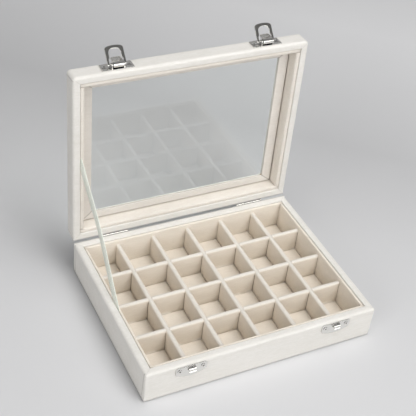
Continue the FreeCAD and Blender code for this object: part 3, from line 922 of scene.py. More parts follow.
@dataclass
class Base:
    """The base: its wrap, felt, liners, floor pad and slotted dividers.

    Attributes:
        wrap: Sizes of its velvet.
        height: Height of its rim.
        felt: Thickness of the felt.
        felt_gap: Gap between the felt and the velvet above it.
        felt_edge: Radius of its pressed edges.
        felt_corner: Radius of its corners.
        turn_under: How far the velvet turns under.
        fold: Radius of its bottom fold.
        tray_floor: Height of the floor.
        liner_edge: Radius of a liner's inner top edge.
        liner_back: Radius of its outer top edge.
        pad_full: How full the floor pad is in a cell.
        pad_rise: Over which distance it rises.
        pad_tuck: Over which distance it is drawn down again.
        pad_wave: Length and height of its waves.
        column_pitch: Between cross dividers.
        row_pitch: Between long dividers.
        columns: Cells from left to right.
        rows: Cells from front to back.
        divider: Thickness of a divider.
        divider_swell: How far its sides swell.
        divider_sink: How far it stands in the floor pad.
        divider_wave: Length and height of its velvet's waves.
        crown: Height of a divider's rounded top.
        joint_lap: How far a long divider's panel runs into a cross divider's velvet.
        joint_edge: Radius of a panel's upright end edges.
        joint_top: Depth below the top at which those edges begin.
    """

    wrap: Wrap = field(default_factory=Wrap)
    height: float = 30.0
    felt: float = 0.6
    felt_gap: float = 0.02
    felt_edge: float = 0.22
    felt_corner: float = 3.0
    turn_under: float = 12.0
    fold: float = 0.6
    tray_floor: float = 4.8
    liner_edge: float = 0.9
    liner_back: float = 0.5
    pad_full: float = 0.3
    pad_rise: float = 5.0
    pad_tuck: float = 0.7
    pad_wave: tuple[float, float] = (16.0, 0.06)
    column_pitch: float = 31.933
    row_pitch: float = 35.3
    columns: int = 6
    rows: int = 4
    divider: float = 4.0
    divider_swell: float = 0.12
    divider_sink: float = 0.4
    divider_wave: tuple[float, float] = (20.0, 0.06)
    crown: float = 1.7
    joint_lap: float = 0.2
    joint_edge: float = 0.9
    joint_top: float = 1.6

    @staticmethod
    def node_box(node: str) -> tuple[np.ndarray, np.ndarray]:
        """A node's lowest and highest corners at rest, in millimetres."""
        low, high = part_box(node)
        return np.array(low) / METRES, np.array(high) / METRES

    def lines(self, count: int, pitch: float) -> np.ndarray:
        """Places of the dividers between a number of cells, about the middle."""
        return (np.arange(1, count) - count / 2) * pitch

    def section(self, edge: float, corner: float) -> Profile:
        """The wrap's section: under the edge, up the face, over the rim, down inside, and its glued side.

        Args:
            edge: Radius of the rim's outer edge.
            corner: Radius of the upright corners.

        Returns:
            The section.
        """
        wrap, top = self.wrap, self.height
        low = self.felt + self.felt_gap
        fold_in, fold_up = arc(self.fold)
        edge_in, edge_up = arc(edge)
        inner_drop, inner_in = arc(wrap.inner_edge)
        face = np.linspace(low + self.fold, top - edge, 16)[1:-1]
        rim = np.linspace(edge, wrap.wall - wrap.inner_edge, 6)[1:-1]
        inside = np.linspace(top - wrap.inner_edge, self.tray_floor, 6)[1:]
        glued = wrap.wall - wrap.skin
        inset = np.concatenate([
            np.linspace(self.turn_under, self.fold, 4)[:-1], self.fold - fold_up, np.zeros(len(face)),
            edge_in, rim, wrap.wall - wrap.inner_edge + inner_in, np.full(len(inside), wrap.wall),
            [glued, glued, wrap.skin + wrap.bevel, wrap.skin, wrap.skin, self.turn_under]])
        height = np.concatenate([
            np.full(3, low), low + fold_in, face, top - edge + edge_up, np.full(len(rim), top),
            top - inner_drop, inside,
            [self.tray_floor, top - wrap.skin, top - wrap.skin, top - wrap.skin - wrap.bevel,
             low + wrap.skin, low + wrap.skin]])
        return Profile(inset, inset, height, np.maximum(corner - inset, wrap.least_corner), len(inset) - 6)

    def cloth(self) -> Surface:
        """The velvet wrap."""
        return self.wrap.shell(self.section, self.height, 11, 0.5)

    def felt_sheet(self) -> Surface:
        """The felt under the bottom, with its edges pressed round."""
        _, high = self.node_box("underside_felt")
        drop, draw = arc(self.felt_edge, 4)
        inset = np.concatenate([self.felt_edge - draw, self.felt_edge - draw[::-1]])
        height = np.concatenate([drop, self.felt - drop[::-1]])
        share = np.linspace(0, 1, 13)[1:-1]
        corner = np.full((len(inset), 4), self.felt_corner)
        flat = rounded_rectangles(high[0] - inset, high[1] - inset, corner, 6, share, share)
        return loft(raised(flat, height))

    def liner(self, side: str) -> Surface:
        """A velvet-covered liner board, its inner top edge softly rounded.

        Args:
            side: Which wall it lines.

        Returns:
            The board.
        """
        low, high = self.node_box("base_liner_" + side)
        inner_first = side in ("front", "right")
        tops = (self.liner_edge, self.liner_back) if inner_first else (self.liner_back, self.liner_edge)
        radii = (*tops, HIDDEN_EDGE, HIDDEN_EDGE)
        if side in ("front", "back"):
            return soft_bar(low, high, radii, 0.3, 0.1, 21)
        turned_low, turned_high = (low[1], -high[0], low[2]), (high[1], -low[0], high[2])
        return quarter_turned(soft_bar(turned_low, turned_high, radii, 0.12, 0.1, 22))

    def floor(self) -> Surface:
        """The floor pad: a little full in each cell and drawn down along the dividers and walls.

        Its height is the floor plus f (1 - exp(-d / r)) - f exp(-(d / t) squared), with f, r and t its
        fullness, rise and tuck and d the distance to the nearest divider or wall. Each ring is a section
        across it, top and underside.

        Returns:
            The pad.
        """
        low, high = self.node_box("floor_pad")
        near = np.array([0.0, 0.35, 0.7, 1.1, 1.7, 2.8, 4.8, 8.0, 12.0])

        def stations(lines: np.ndarray, end: float) -> tuple[np.ndarray, np.ndarray]:
            """Places across the cells, close together near the dividers, and the way to the nearest one."""
            faces = np.repeat(lines, 2) + np.tile([-1, 1], len(lines)) * self.divider / 2
            edges = np.concatenate([[-end], faces, [end]])
            starts, stops = edges[0::2, None], edges[1::2, None]
            places = np.concatenate([starts + near, stops - near[::-1]], axis=1).ravel()
            gap = np.minimum(places[:, None] - starts.T, stops.T - places[:, None]).max(axis=1)
            return places, np.maximum(gap, 0)

        x, gap_x = stations(self.lines(self.columns, self.column_pitch), high[0])
        y, gap_y = stations(self.lines(self.rows, self.row_pitch), high[1])
        gap = np.minimum(gap_x[:, None], gap_y[None, :])
        grid = gathered(x[:, None], y[None, :], high[2])
        filled, tucked = 1 - np.exp(-gap / self.pad_rise), bump(gap, self.pad_tuck)
        grid[..., 2] += self.pad_full * filled - self.pad_full * tucked + ripple(grid, *self.pad_wave, 31)
        under = grid[:, ::-1] * (1, 1, 0) + (0, 0, low[2])
        # Painted shade along the foot of the dividers and walls.
        painted_shading = np.concatenate([0.25 * bump(gap, 0.5), np.zeros_like(gap)], axis=1)
        return loft(np.concatenate([grid, under], axis=1), painted_shading)

    def panel(self, start: float, end: float, low: float, high: float, seed: int,
              joints: Sequence[float] = ()) -> Surface:
        """A velvet-covered divider panel along X: flat sides, a half-elliptic top and rolled end edges.

        The section's top is (w cos t, c sin t) on straight sides. Its ends are rolled below the top and run
        straight on at the top. The sides swell by a height times sin(pi v) between floor and shoulder.

        Args:
            start: Where it starts.
            end: Where it ends.
            low: Its underside.
            high: Its top.
            seed: Seed of its unevenness.
            joints: Places where another divider meets its sides.

        Returns:
            The panel, about the X axis.
        """
        half, shoulder, edge = self.divider / 2, high - self.crown, self.joint_edge
        turn = np.linspace(0, np.pi, 15)
        rise = np.concatenate([np.linspace(low, high - 5, 6), np.linspace(high - 5, shoulder, 9)[1:-1]])
        across = np.concatenate([np.linspace(-half, half, 5)[:-1], np.full(len(rise), half),
                                 half * np.cos(turn), np.full(len(rise), -half)])
        up = np.concatenate([np.full(4, low), rise, shoulder + self.crown * np.sin(turn), rise[::-1]])
        near = np.array([-7.0, -4.5, -3.4, -2.8, -2.4, -2.1, 2.1, 2.4, 2.8, 3.4, 4.5, 7.0])
        inner = np.linspace(start + edge, end - edge, 2 + max(8, int((end - start) / 4)))[1:-1]
        inner = np.unique(np.concatenate([inner] + [joint + near for joint in joints]))
        along, draw = rolled_ends(start, end, edge, inner)
        below = ease((high - self.joint_top - up) / 1.6)
        inset = draw[:, None] * below
        level = np.clip((up - low) / (shoulder - low), 0, 1)
        wide = across * (1 - inset / half) + np.sign(across) * self.divider_swell * np.sin(np.pi * level)
        rings = gathered(along[:, None], wide, up)
        rings += ring_normals(rings, False) * ripple(rings, *self.divider_wave, seed)[..., None]
        reach = np.minimum(along - start, end - along)
        if len(joints):
            beside = np.abs(np.abs(along[:, None] - np.asarray(joints)) - half)
            reach = np.minimum(reach, beside.min(axis=1))
        foot = bump(up - low - self.divider_sink, 0.6)
        # Painted shade at the panel's ends, at its joints and along its foot; below 0, the painted tone
        # along its rounded top.
        painted_shading = np.maximum(0.9 * bump(reach, 0.6)[:, None] * below, 0.2 * foot)
        return loft(rings, painted_shading - 0.7 * ease((up - shoulder) / self.crown))

    def cross_divider(self, number: int) -> Surface:
        """A cross divider, whole along its top."""
        low, high = self.node_box("cross_divider_%d" % number)
        joints = self.lines(self.rows, self.row_pitch)
        panel = self.panel(low[1], high[1], low[2] - self.divider_sink, high[2], 40 + number, joints)
        board = quarter_turned(panel)
        board.points[:, 0] += (low[0] + high[0]) / 2
        return board

    def long_divider(self, number: int) -> Surface:
        """A long divider: a covered panel in each column, and the slotted board that joins them below."""
        low, high = self.node_box("long_divider_%d" % number)
        lines = self.lines(self.columns, self.column_pitch)
        reach = self.divider / 2 - self.joint_lap
        starts = np.concatenate([[low[0]], lines + reach])
        ends = np.concatenate([lines - reach, [high[0]]])
        panels = [self.panel(start, end, low[2] - self.divider_sink, high[2], 60 + 7 * number + place)
                  for place, (start, end) in enumerate(zip(starts, ends))]
        core = soft_bar((low[0] + 1, -1.2, low[2] - 0.3), (high[0] - 1, 1.2, (low[2] + high[2]) / 2),
                        (0.3, 0.3, HIDDEN_EDGE, HIDDEN_EDGE), 0.2)
        board = joined([*panels, core])
        board.points[:, 1] += (low[1] + high[1]) / 2
        return board

    def build(self, velvet: bpy.types.Material, lining: bpy.types.Material, divider: bpy.types.Material,
              felt: bpy.types.Material) -> None:
        """Builds and dresses the base's soft pieces.

        Args:
            velvet: Finish of the wrap.
            lining: Finish of the tray's floor and sides.
            divider: Finish of the dividers, a darker copy of the tray velvet as painted shade.
            felt: Finish of the underside.
        """
        add_piece("base_velvet", self.cloth(), velvet, Slot.VELVET, Body.BASE, ["base_velvet_wrap"])
        add_piece("base_felt", self.felt_sheet(), felt, Slot.FELT, Body.BASE, ["underside_felt"])
        for side in SIDES:
            cover("base_liner_" + side, self.liner(side), lining, Body.BASE)
        pad = cover("floor_pad", self.floor(), lining, Body.BASE)
        for number in range(1, self.rows):
            cover("long_divider_%d" % number, self.long_divider(number), divider, Body.BASE)
        for number in range(1, self.columns):
            cover("cross_divider_%d" % number, self.cross_divider(number), divider, Body.BASE)


@dataclass
class Lid:
    """The lid: its wrap, liner strips and the mitred strips that hold the pane.

    Attributes:
        wrap: Sizes of its velvet.
        rim: Height of its rim when shut.
        top: Height of its top when shut.
        panel_under: Underside of the panel.
        pane_under: Underside of the pane.
        side_border: From the side to the window.
        front_border: From the front to the window.
        window_corner: Radius of the window's corners.
        window_edge: Radius of the window's edge.
        liner: Thickness of a liner strip.
        liner_drop: How far a liner lies above the rim.
        liner_edge: Radius of its inner edge.
        liner_back: Radius of its outer edge.
        liner_gap: Gap between wall and liner.
        retainer: Thickness of a retainer strip.
        retainer_gap: Gap between liner and retainer.
        retainer_edges: Radii of its edges at the window and at the liner.
        retainer_full: How full its face is.
        mitre: Width of the crease along its mitres, which is sunk and given painted shade.
        mitre_sink: Depth of that crease.
        pane_lap: How far the pane laps past the window.
    """

    wrap: Wrap = field(default_factory=lambda: Wrap(corner=3.5))
    rim: float = 30.3
    top: float = 45.1
    panel_under: float = 43.5
    pane_under: float = 42.1
    side_border: float = 19.3
    front_border: float = 17.5
    window_corner: float = 2.5
    window_edge: float = 0.7
    liner: float = 3.4
    liner_drop: float = 0.8
    liner_edge: float = 1.5
    liner_back: float = 0.5
    liner_gap: float = 0.2
    retainer: float = 1.1
    retainer_gap: float = 1.0
    retainer_edges: tuple[float, float] = (0.5, 0.4)
    retainer_full: float = 0.2
    mitre: float = 0.45
    mitre_sink: float = 0.3
    pane_lap: float = 5.1

    def section(self, rim_edge: float, upright: float) -> Profile:
        """The wrap's section: from the window over the top, down the face, round the rim and up inside.

        Args:
            rim_edge: Radius of the rim's outer edge.
            upright: Radius of the upright corners.

        Returns:
            The section.
        """
        wrap, edge, lip = self.wrap, self.wrap.edge, self.window_edge
        lip_in, lip_up = arc(lip, 5)
        edge_in, edge_up = arc(edge)
        rim_in, rim_up = arc(rim_edge)
        inner_drop, inner_in = arc(wrap.inner_edge)
        across = np.linspace(0, 1, 14)[1:-1]
        face = np.linspace(self.top - edge, self.rim + rim_edge, 10)[1:-1]
        rim = np.linspace(rim_edge, wrap.wall - wrap.inner_edge, 6)[1:-1]
        inside = np.linspace(self.rim + wrap.inner_edge, self.panel_under - 1, 5)[1:]
        glued, hidden = wrap.wall - wrap.skin, wrap.skin + wrap.bevel

        def insets(border: float) -> np.ndarray:
            """Insets of the profile for a side with that border beside the window."""
            start = border - lip
            return np.concatenate([
                [border], border - lip_in, start + (edge - start) * across, edge - edge_up,
                np.zeros(len(face)), rim_in, rim, wrap.wall - wrap.inner_edge + inner_in,
                np.full(len(inside), wrap.wall), [glued, glued, hidden, wrap.skin, wrap.skin, hidden],
                [border - wrap.skin, border - wrap.skin]])

        height = np.concatenate([
            [self.panel_under + 0.1], self.top - lip + lip_up, self.top + 0.12 * np.sin(np.pi * across),
            self.top - edge_in, face, self.rim + rim_edge - rim_up, np.full(len(rim), self.rim),
            self.rim + inner_drop, inside,
            [self.panel_under - 1, self.rim + wrap.skin, self.rim + wrap.skin, self.rim + hidden,
             self.top - hidden, self.top - wrap.skin, self.top - wrap.skin, self.panel_under + 0.1]])
        inset = insets(self.side_border)
        corner = np.maximum(upright - inset, wrap.least_corner)
        lip_rows = 1 + len(lip_in)
        corner[:lip_rows] = self.window_corner
        narrower = (wrap.least_corner - self.window_corner) * across
        corner[lip_rows:lip_rows + len(across)] = self.window_corner + narrower
        corner[-2:] = self.window_corner
        return Profile(inset, insets(self.front_border), height, corner, len(inset) - 8)

    def cloth(self) -> Surface:
        """The velvet wrap with the lid shut."""
        return self.wrap.shell(self.section, self.rim, 71)

    def liner_strip(self, side: str) -> Surface:
        """A velvet-covered strip inside a rail, with its inner edge softly rounded.

        Args:
            side: Which rail it lines.

        Returns:
            The strip with the lid shut.
        """
        outer_x = self.wrap.half_width - self.wrap.wall - self.liner_gap
        outer_y = self.wrap.half_depth - self.wrap.wall - self.liner_gap
        low, high = self.rim + self.liner_drop, self.panel_under
        lengthways = side in ("front", "back")
        sign = 1 if side in ("back", "left") else -1
        edges = (self.liner_back, self.liner_edge) if sign < 0 else (self.liner_edge, self.liner_back)
        outer, reach = (outer_y, outer_x) if lengthways else (outer_x, outer_y - self.liner - 0.1)
        places = sorted((sign * outer, sign * (outer - self.liner)))
        end_radius, seed = (0.4, 81) if lengthways else (0.7, 82)
        radii = (HIDDEN_EDGE, HIDDEN_EDGE, *edges)
        strip = soft_bar((-reach, places[0], low), (reach, places[1], high), radii, end_radius, 0.15, seed)
        return strip if lengthways else quarter_turned(strip)

    def retainer_strip(self, inner: float, outer: float, inner_half: float, outer_half: float) -> Surface:
        """A mitred strip in front of the window: its length at each place across runs from mitre to mitre.

        A point at share u of the way and v across lies at x = u L(v), where L grows evenly from inner_half
        at the window to outer_half. The face is full by a height times sin(pi v) and sinks by a depth times
        exp(-(d / w) squared) at a distance d from the mitre.

        Args:
            inner: Distance of the window's edge from the middle.
            outer: Distance of the strip's outer edge from the middle.
            inner_half: Half its length at the window.
            outer_half: Half its length outside.

        Returns:
            The strip in front of the Z axis, with the lid shut.
        """
        face, back = self.pane_under - self.retainer, self.pane_under - 0.03
        near_edge, far_edge = self.retainer_edges
        near, far = arc(near_edge, 5), arc(far_edge, 5)
        flat = np.linspace(inner + near_edge, outer - far_edge, 10)[1:-1]
        lap = inner + self.pane_lap
        place = np.concatenate([inner + near[0], flat, outer - far[0][::-1], [outer, lap, lap, inner]])
        full = self.retainer_full * np.sin(np.pi * (flat - flat[0]) / np.ptp(flat))
        height = np.concatenate([face + near_edge - near[1], face - full, face + far_edge - far[1][::-1],
                                 [self.panel_under - 0.05, self.panel_under - 0.05, back, back]])
        length = inner_half + (place - inner) / (outer - inner) * (outer_half - inner_half)
        share = np.concatenate([[-1.0], 2 * end_shares(2 * inner_half, 2.5, 10, 24) - 1, [1.0]])
        gap = (1 - np.abs(share))[:, None] * length
        groove = bump(gap, self.mitre)
        sunk = np.where(height < face + 0.6, self.mitre_sink * groove, 0)
        # The mitre groove also gets painted shade.
        return loft(gathered(share[:, None] * length, -place, height + sunk), 0.8 * groove)

    def retainers(self) -> dict[str, Surface]:
        """The four retainer strips by side, with the lid shut."""
        inner_x = self.wrap.half_width - self.side_border
        inner_y = self.wrap.half_depth - self.front_border
        edge = self.wrap.wall + self.liner_gap + self.liner + self.retainer_gap
        outer_x, outer_y = self.wrap.half_width - edge, self.wrap.half_depth - edge
        sizes = ((inner_y, outer_y, inner_x, outer_x), (inner_x, outer_x, inner_y, outer_y))
        strips = {}
        for turns, side in enumerate(("front", "right", "back", "left")):
            strips[side] = self.retainer_strip(*sizes[turns % 2])
            for _ in range(turns):
                quarter_turned(strips[side])
        return strips

    def build(self, velvet: bpy.types.Material, lining: bpy.types.Material,
              strip: bpy.types.Material) -> None:
        """Builds and dresses the lid's soft pieces.

        Args:
            velvet: Finish of the wrap.
            lining: Finish of the liners inside it.
            strip: Finish of the strips that hold the pane, a darker copy of the lining velvet as painted
                shade.
        """
        cloth = HINGE.opened(self.cloth())
        add_piece("lid_velvet", cloth, velvet, Slot.VELVET, Body.LID, ["lid_velvet_wrap"])
        for side, shape in self.retainers().items():
            cover("retainer_" + side, HINGE.opened(shape), strip, Body.LID)
        for side in SIDES:
            cover("lid_liner_" + side, HINGE.opened(self.liner_strip(side)), lining, Body.LID)


@dataclass
class Fittings:
    """The metal fittings: nickel on the carried-over nodes, and the screws that hold them.

    Attributes:
        screw_radius: Radius of a screw's head.
        screw_height: Height of its dome.
        recess: Depth of its cross recess.
        recess_arm: Half length of an arm of the recess.
        recess_width: Half width of an arm.
        latch_x: Place of a latch from the middle.
        latch_screw: From a latch's middle to its screws.
        keeper_screw: From a keeper's middle to its screws.
        hinge_x: Place of a hinge from the middle.
        hinge_screw: From a hinge's middle to its screws.
        plate_face: From the middle to the outer face of a plate or leaf.
        screw_rises: Heights of the screws in latches, keepers, base leaves and lid leaves, lid shut.
        loop_pivot: A loop's pivot (y, z) at rest.
        loop_lean: How far a loop leans from level at rest, in degrees.
        loop_sheet: Thickness of its sheet.
        loop_half: Half its width at the feet.
        loop_shoulder: Half its width at the shoulders.
        loop_sag: How far the bar's outer edge drops from its middle to the shoulders.
        loop_foot: Half the width between its feet.
        loop_eye: Half the width of its eye.
        loop_tail: How far its feet run past the pivot.
        loop_reach: From the pivot to the bar.
        loop_bar: Width of the bar.
        loop_step: Where a leg's width begins to ease from its foot's, and over what length.
        eye_start: Where the eye's arch starts, from the pivot.
        eye_power: Power n of its arch.
        rim_start: Where the outer edge's arch starts.
        rim_power: Power n of that arch.
        loop_edge: Radius of the sheet's edges.
        stub: Radius of a stub.
        stub_ends: Where a stub starts and ends, from the loop's middle.
    """

    screw_radius: float = 1.7
    screw_height: float = 0.75
    recess: float = 0.5
    recess_arm: float = 1.05
    recess_width: float = 0.26
    latch_x: float = 63.0
    latch_screw: float = 10.0
    keeper_screw: float = 9.6
    hinge_x: float = 64.0
    hinge_screw: float = 8.2
    plate_face: float = 78.0
    screw_rises: tuple[float, float, float, float] = (37.4, 24.5, 25.0, 35.3)
    loop_pivot: tuple[float, float] = (88.0029, 187.8012)
    loop_lean: float = 49.0
    loop_sheet: float = 1.0
    loop_half: float = 7.6
    loop_shoulder: float = 7.5
    loop_sag: float = 1.1
    loop_foot: float = 5.6
    loop_eye: float = 4.8
    loop_tail: float = 0.9
    loop_reach: float = 11.4
    loop_bar: float = 2.7
    loop_step: tuple[float, float] = (3.6, 1.2)
    eye_start: float = 6.4
    eye_power: float = 3.2
    rim_start: float = 9.0
    rim_power: float = 7.0
    loop_edge: float = 0.32
    stub: float = 0.55
    stub_ends: tuple[float, float] = (3.4, 6.5)

    def screw(self, place: Sequence[float], outward: int, turn: float) -> Surface:
        """A domed screw head with a cross recess, standing on a plate that faces along Y.

        The dome's height is h sqrt(1 - 0.9 (r / R) squared), less the recess inside a cross of two arms
        with eased edges. Rings run from its rim to its middle.

        Args:
            place: Middle of its seat.
            outward: 1 if it faces +Y, -1 if it faces -Y.
            turn: How far the recess is turned, in radians.

        Returns:
            The head.
        """
        radius = self.screw_radius * np.concatenate([[1.0], np.linspace(1.0, 0.02, 20)])[:, None]
        angle = round_turn(48)[None, :]
        height = self.screw_height * np.sqrt(1 - 0.9 * (radius / self.screw_radius) ** 2)
        first, second = np.abs(radius * np.cos(angle)), np.abs(radius * np.sin(angle))

        def arm(long: np.ndarray, wide: np.ndarray) -> np.ndarray:
            """1 inside an arm of the recess, easing to 0 at its border."""
            return ease((self.recess_arm - long) / 0.15) * ease((self.recess_width - wide) / 0.12 + 0.5)

        cross = np.maximum(arm(first, second), arm(second, first))
        height = height - self.recess * cross
        height[0] = -0.1
        rings = gathered(radius * np.cos(angle + turn), outward * height, radius * np.sin(angle + turn))
        # Painted shade in the cross recess and in a ring round the head's rim.
        painted_shading = np.maximum(0.95 * cross, 0.8 * bump(self.screw_radius - radius, 0.12))
        return loft(rings + np.asarray(place, float), painted_shading)

    def loop(self, side: int) -> Surface:
        """A stamped stirrup on the lever's pivot: two legs, angular shoulders and an arched eye.

        With p across and q along it from the pivot, its inner and outer edges run straight up the legs and
        then over an arch, the curve |p / a| to the n + |(q - c) / b| to the n = 1, the outer one less a sag
        that grows as p squared. A round-cornered section spans from one edge to the other at each place,
        and two stubs turn in the lever.

        Args:
            side: -1 on the left, 1 on the right.

        Returns:
            The stirrup at rest.
        """
        angle = np.linspace(0, np.pi, 49)

        def edge(half: float, start: float, rise: float, power: float, foot: float) -> np.ndarray:
            """One edge from tail to tail: a leg that eases from its foot, an arch and the other leg."""
            along = np.linspace(-self.loop_tail, start, 14)[:-1]
            step = ease((along - self.loop_step[0]) / self.loop_step[1])
            leg = np.stack([foot + (half - foot) * step, along], axis=-1)
            reach = (np.abs(np.cos(angle)) ** power + np.sin(angle) ** power) ** (-1 / power)
            arch = np.stack([half * reach * np.cos(angle), start + rise * reach * np.sin(angle)], axis=-1)
            return np.concatenate([leg, arch, leg[::-1] * (-1, 1)])

        eye_rise = self.loop_reach - self.eye_start
        rim_rise = self.loop_reach + self.loop_bar - self.rim_start
        eye = edge(self.loop_eye, self.eye_start, eye_rise, self.eye_power, self.loop_foot)
        rim = edge(self.loop_shoulder, self.rim_start, rim_rise, self.rim_power, self.loop_half)
        sag = self.loop_sag * ease((rim[:, 1] - self.rim_start) / 2)
        rim[:, 1] -= sag * (rim[:, 0] / self.loop_shoulder) ** 2
        middle, spread = (eye + rim) / 2, rim - eye
        width = np.linalg.norm(spread, axis=1)
        share = np.linspace(0, 1, 4)[1:-1]
        section = rounded_rectangles(width / 2, np.full(len(width), self.loop_sheet / 2),
                                     np.full((len(width), 4), self.loop_edge), 4, share, share)
        flat = middle[:, None] + (spread / width[:, None])[:, None] * section[..., :1]
        pivot = np.array([side * self.latch_x, *self.loop_pivot])
        band = loft(np.concatenate([flat, section[..., 1:]], axis=-1) @ about_x(self.loop_lean) + pivot)
        turn = round_turn(20)
        circle = self.stub * np.stack([np.zeros(len(turn)), np.cos(turn), np.sin(turn)], axis=-1)
        reach = np.linspace(*self.stub_ends, 3)[:, None, None] * np.array([1, 0, 0])
        return joined([band] + [loft(pivot + circle + end * reach) for end in (-1, 1)])

    def pair(self, middle: Sequence[float], spread: float, outward: int, turn: float) -> Surface:
        """Two screws either side of a plate's middle."""
        x, y, z = middle
        return joined([self.screw((x + side * spread, y, z), outward, turn + 0.6 * side)
                       for side in (-1, 1)])

    def build(self, nickel: bpy.types.Material) -> None:
        """Dresses the metal nodes and adds their screws.

        Args:
            nickel: Finish of the metal.
        """
        for sign, side in ((-1, "left"), (1, "right")):
            dress_nodes([kind + side for kind in (
                "latch_plate_", "latch_pin_", "latch_lever_", "keeper_", "hinge_base_leaf_",
                "hinge_lid_leaf_", "hinge_pin_")], nickel)
            node = "latch_loop_" + side
            add_piece("nickel_loop_" + side, self.loop(sign), nickel, Slot.NICKEL, Body(node), [node])
            latch, hinge = sign * self.latch_x, sign * self.hinge_x
            pieces = (("latch_screws_", latch, self.latch_screw, -1, 0.35, Body.LID),
                      ("keeper_screws_", latch, self.keeper_screw, -1, 0.9, Body.BASE),
                      ("hinge_base_screws_", hinge, self.hinge_screw, 1, 0.2, Body.BASE),
                      ("hinge_lid_screws_", hinge, self.hinge_screw, 1, 1.1, Body.LID))
            for (name, x, spread, outward, turn, body), rise in zip(pieces, self.screw_rises):
                screws = self.pair((x, outward * self.plate_face, rise), spread, outward, turn + sign * 0.2)
                if body is Body.LID:
                    screws = HINGE.opened(screws)
                add_piece(name + side, screws, nickel, Slot.NICKEL, body)


@dataclass
class RibbonStay:
    """The ribbon that holds the lid, tucked into the left seams of the base and the lid.

    Attributes:
        route: Its control points (y, z), from the base's seam to the lid's.
        seam: Place of the seams.
        width: Width of the ribbon.
        thickness: Its thickness.
        twist: How far it turns about its own line in the middle, in degrees.
        bow: How far it bows into the box in the middle.
        cup: How far its selvedges curl up.
        length: Its length from tuck to tuck.
        bend_start: Where it begins to follow the lid; not used.
        bend_end: Where it follows the lid wholly; not used.
    """

    route: tuple[tuple[float, float], ...] = (
        (-10.4, 24.4), (6.3, 36.8), (26.5, 53.7), (49.4, 75.4), (69.6, 96.9), (86.3, 116.2))
    seam: float = -93.6
    width: float = 6.0
    thickness: float = 0.26
    twist: float = 18.0
    bow: float = 2.2
    cup: float = 0.25
    length: float = 133.7
    bend_start: tuple[float, float] = (-6.0, 27.5)
    bend_end: tuple[float, float] = (81.9, 111.0)

    def centreline(self) -> np.ndarray:
        """Points along a smooth spline of order 3 with the route's points as its control points.

        Returns:
            Points in millimetres, one row each.
        """
        curve = bpy.data.curves.new("ribbon_route", "CURVE")
        curve.dimensions = "3D"
        curve.resolution_u = 24
        spline = curve.splines.new("NURBS")
        spline.points.add(len(self.route) - 1)
        line = np.array([(self.seam, y, z, 1 / METRES) for y, z in self.route]) * METRES
        spline.points.foreach_set("co", line.ravel())
        spline.order_u = 3
        spline.use_endpoint_u = True
        holder = bpy.data.objects.new("ribbon_route", curve)
        mesh = bpy.data.meshes.new_from_object(holder)
        points = np.empty(3 * len(mesh.vertices))
        mesh.vertices.foreach_get("co", points)
        bpy.data.objects.remove(holder)
        bpy.data.curves.remove(curve)
        bpy.data.meshes.remove(mesh)
        return points.reshape(-1, 3) / METRES

    def build(self, finish: bpy.types.Material) -> None:
        """At a share s of its way it bows inwards by sin(pi s) squared and turns about its line by its twist
        times 1 + 0.1 sin(9 s), eased in at both ends. Its section is a thin lens, closed at its selvedges.

        Args:
            finish: Finish of the ribbon.
        """
        line = self.centreline()
        steps = np.linalg.norm(np.diff(line, axis=0), axis=1)
        way = np.concatenate([[0], np.cumsum(steps)])
        share = way / way[-1]
        line[:, 0] += self.bow * np.sin(np.pi * share) ** 2
        along = unit(np.gradient(line, axis=0))
        flat = unit(np.cross((1.0, 0, 0), along))
        out = np.cross(along, flat)
        turn = np.radians(self.twist) * ease(8 * share) * ease(8 - 8 * share)
        turn *= 1 + 0.1 * np.sin(9 * share)
        across = flat * np.cos(turn)[:, None] + out * np.sin(turn)[:, None]
        face = out * np.cos(turn)[:, None] - flat * np.sin(turn)[:, None]
        place = np.concatenate([np.linspace(-1, 1, 9), np.linspace(1, -1, 9)[1:-1]])
        side = np.concatenate([np.ones(9), -np.ones(7)]) * np.sqrt(np.clip(1.02 - place ** 2, 0.05, 1))
        rings = (line[:, None] + across[:, None] * (place * self.width / 2)[None, :, None]
                 + face[:, None] * (side * self.thickness / 2 + self.cup * place ** 2)[None, :, None])
        surface = loft(rings)
        surface.weave = gathered(place[None, :], (way / self.width)[:, None]).reshape(-1, 2)
        piece = add_piece("ribbon_stay", surface, finish, Slot.RIBBON, None, ["stay_ribbon"])
        [part * METRES for part in (self.seam, *self.bend_start)]
        [part * METRES for part in (self.seam, *self.bend_end)]
        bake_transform(piece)


# ---------------------------------------------------------------- the studio


@dataclass(frozen=True)
class Lamp:
    """A square soft lamp.

    Attributes:
        name: Its name.
        place: Where it hangs, in metres.
        aim: What it points at, in metres.
        size: Its side, in metres.
        power: Its power, in watts.
        mirrored: Whether bright metal shows it.
    """

    name: str
    place: Place
    aim: Place
    size: float
    power: float
    mirrored: bool = True

    def hang(self) -> None:
        """Hangs the lamp."""
        light = bpy.data.lights.new(self.name, "AREA")
        light.shape = "SQUARE"
        light.size = self.size
        light.energy = self.power
        lamp = link(self.name, light)
        lamp.visible_glossy = self.mirrored
        back = unit(np.subtract(self.place, self.aim))
        right = unit(np.cross((0, 0, 1), back))
        stand(lamp, right, np.cross(back, right), back, self.place)


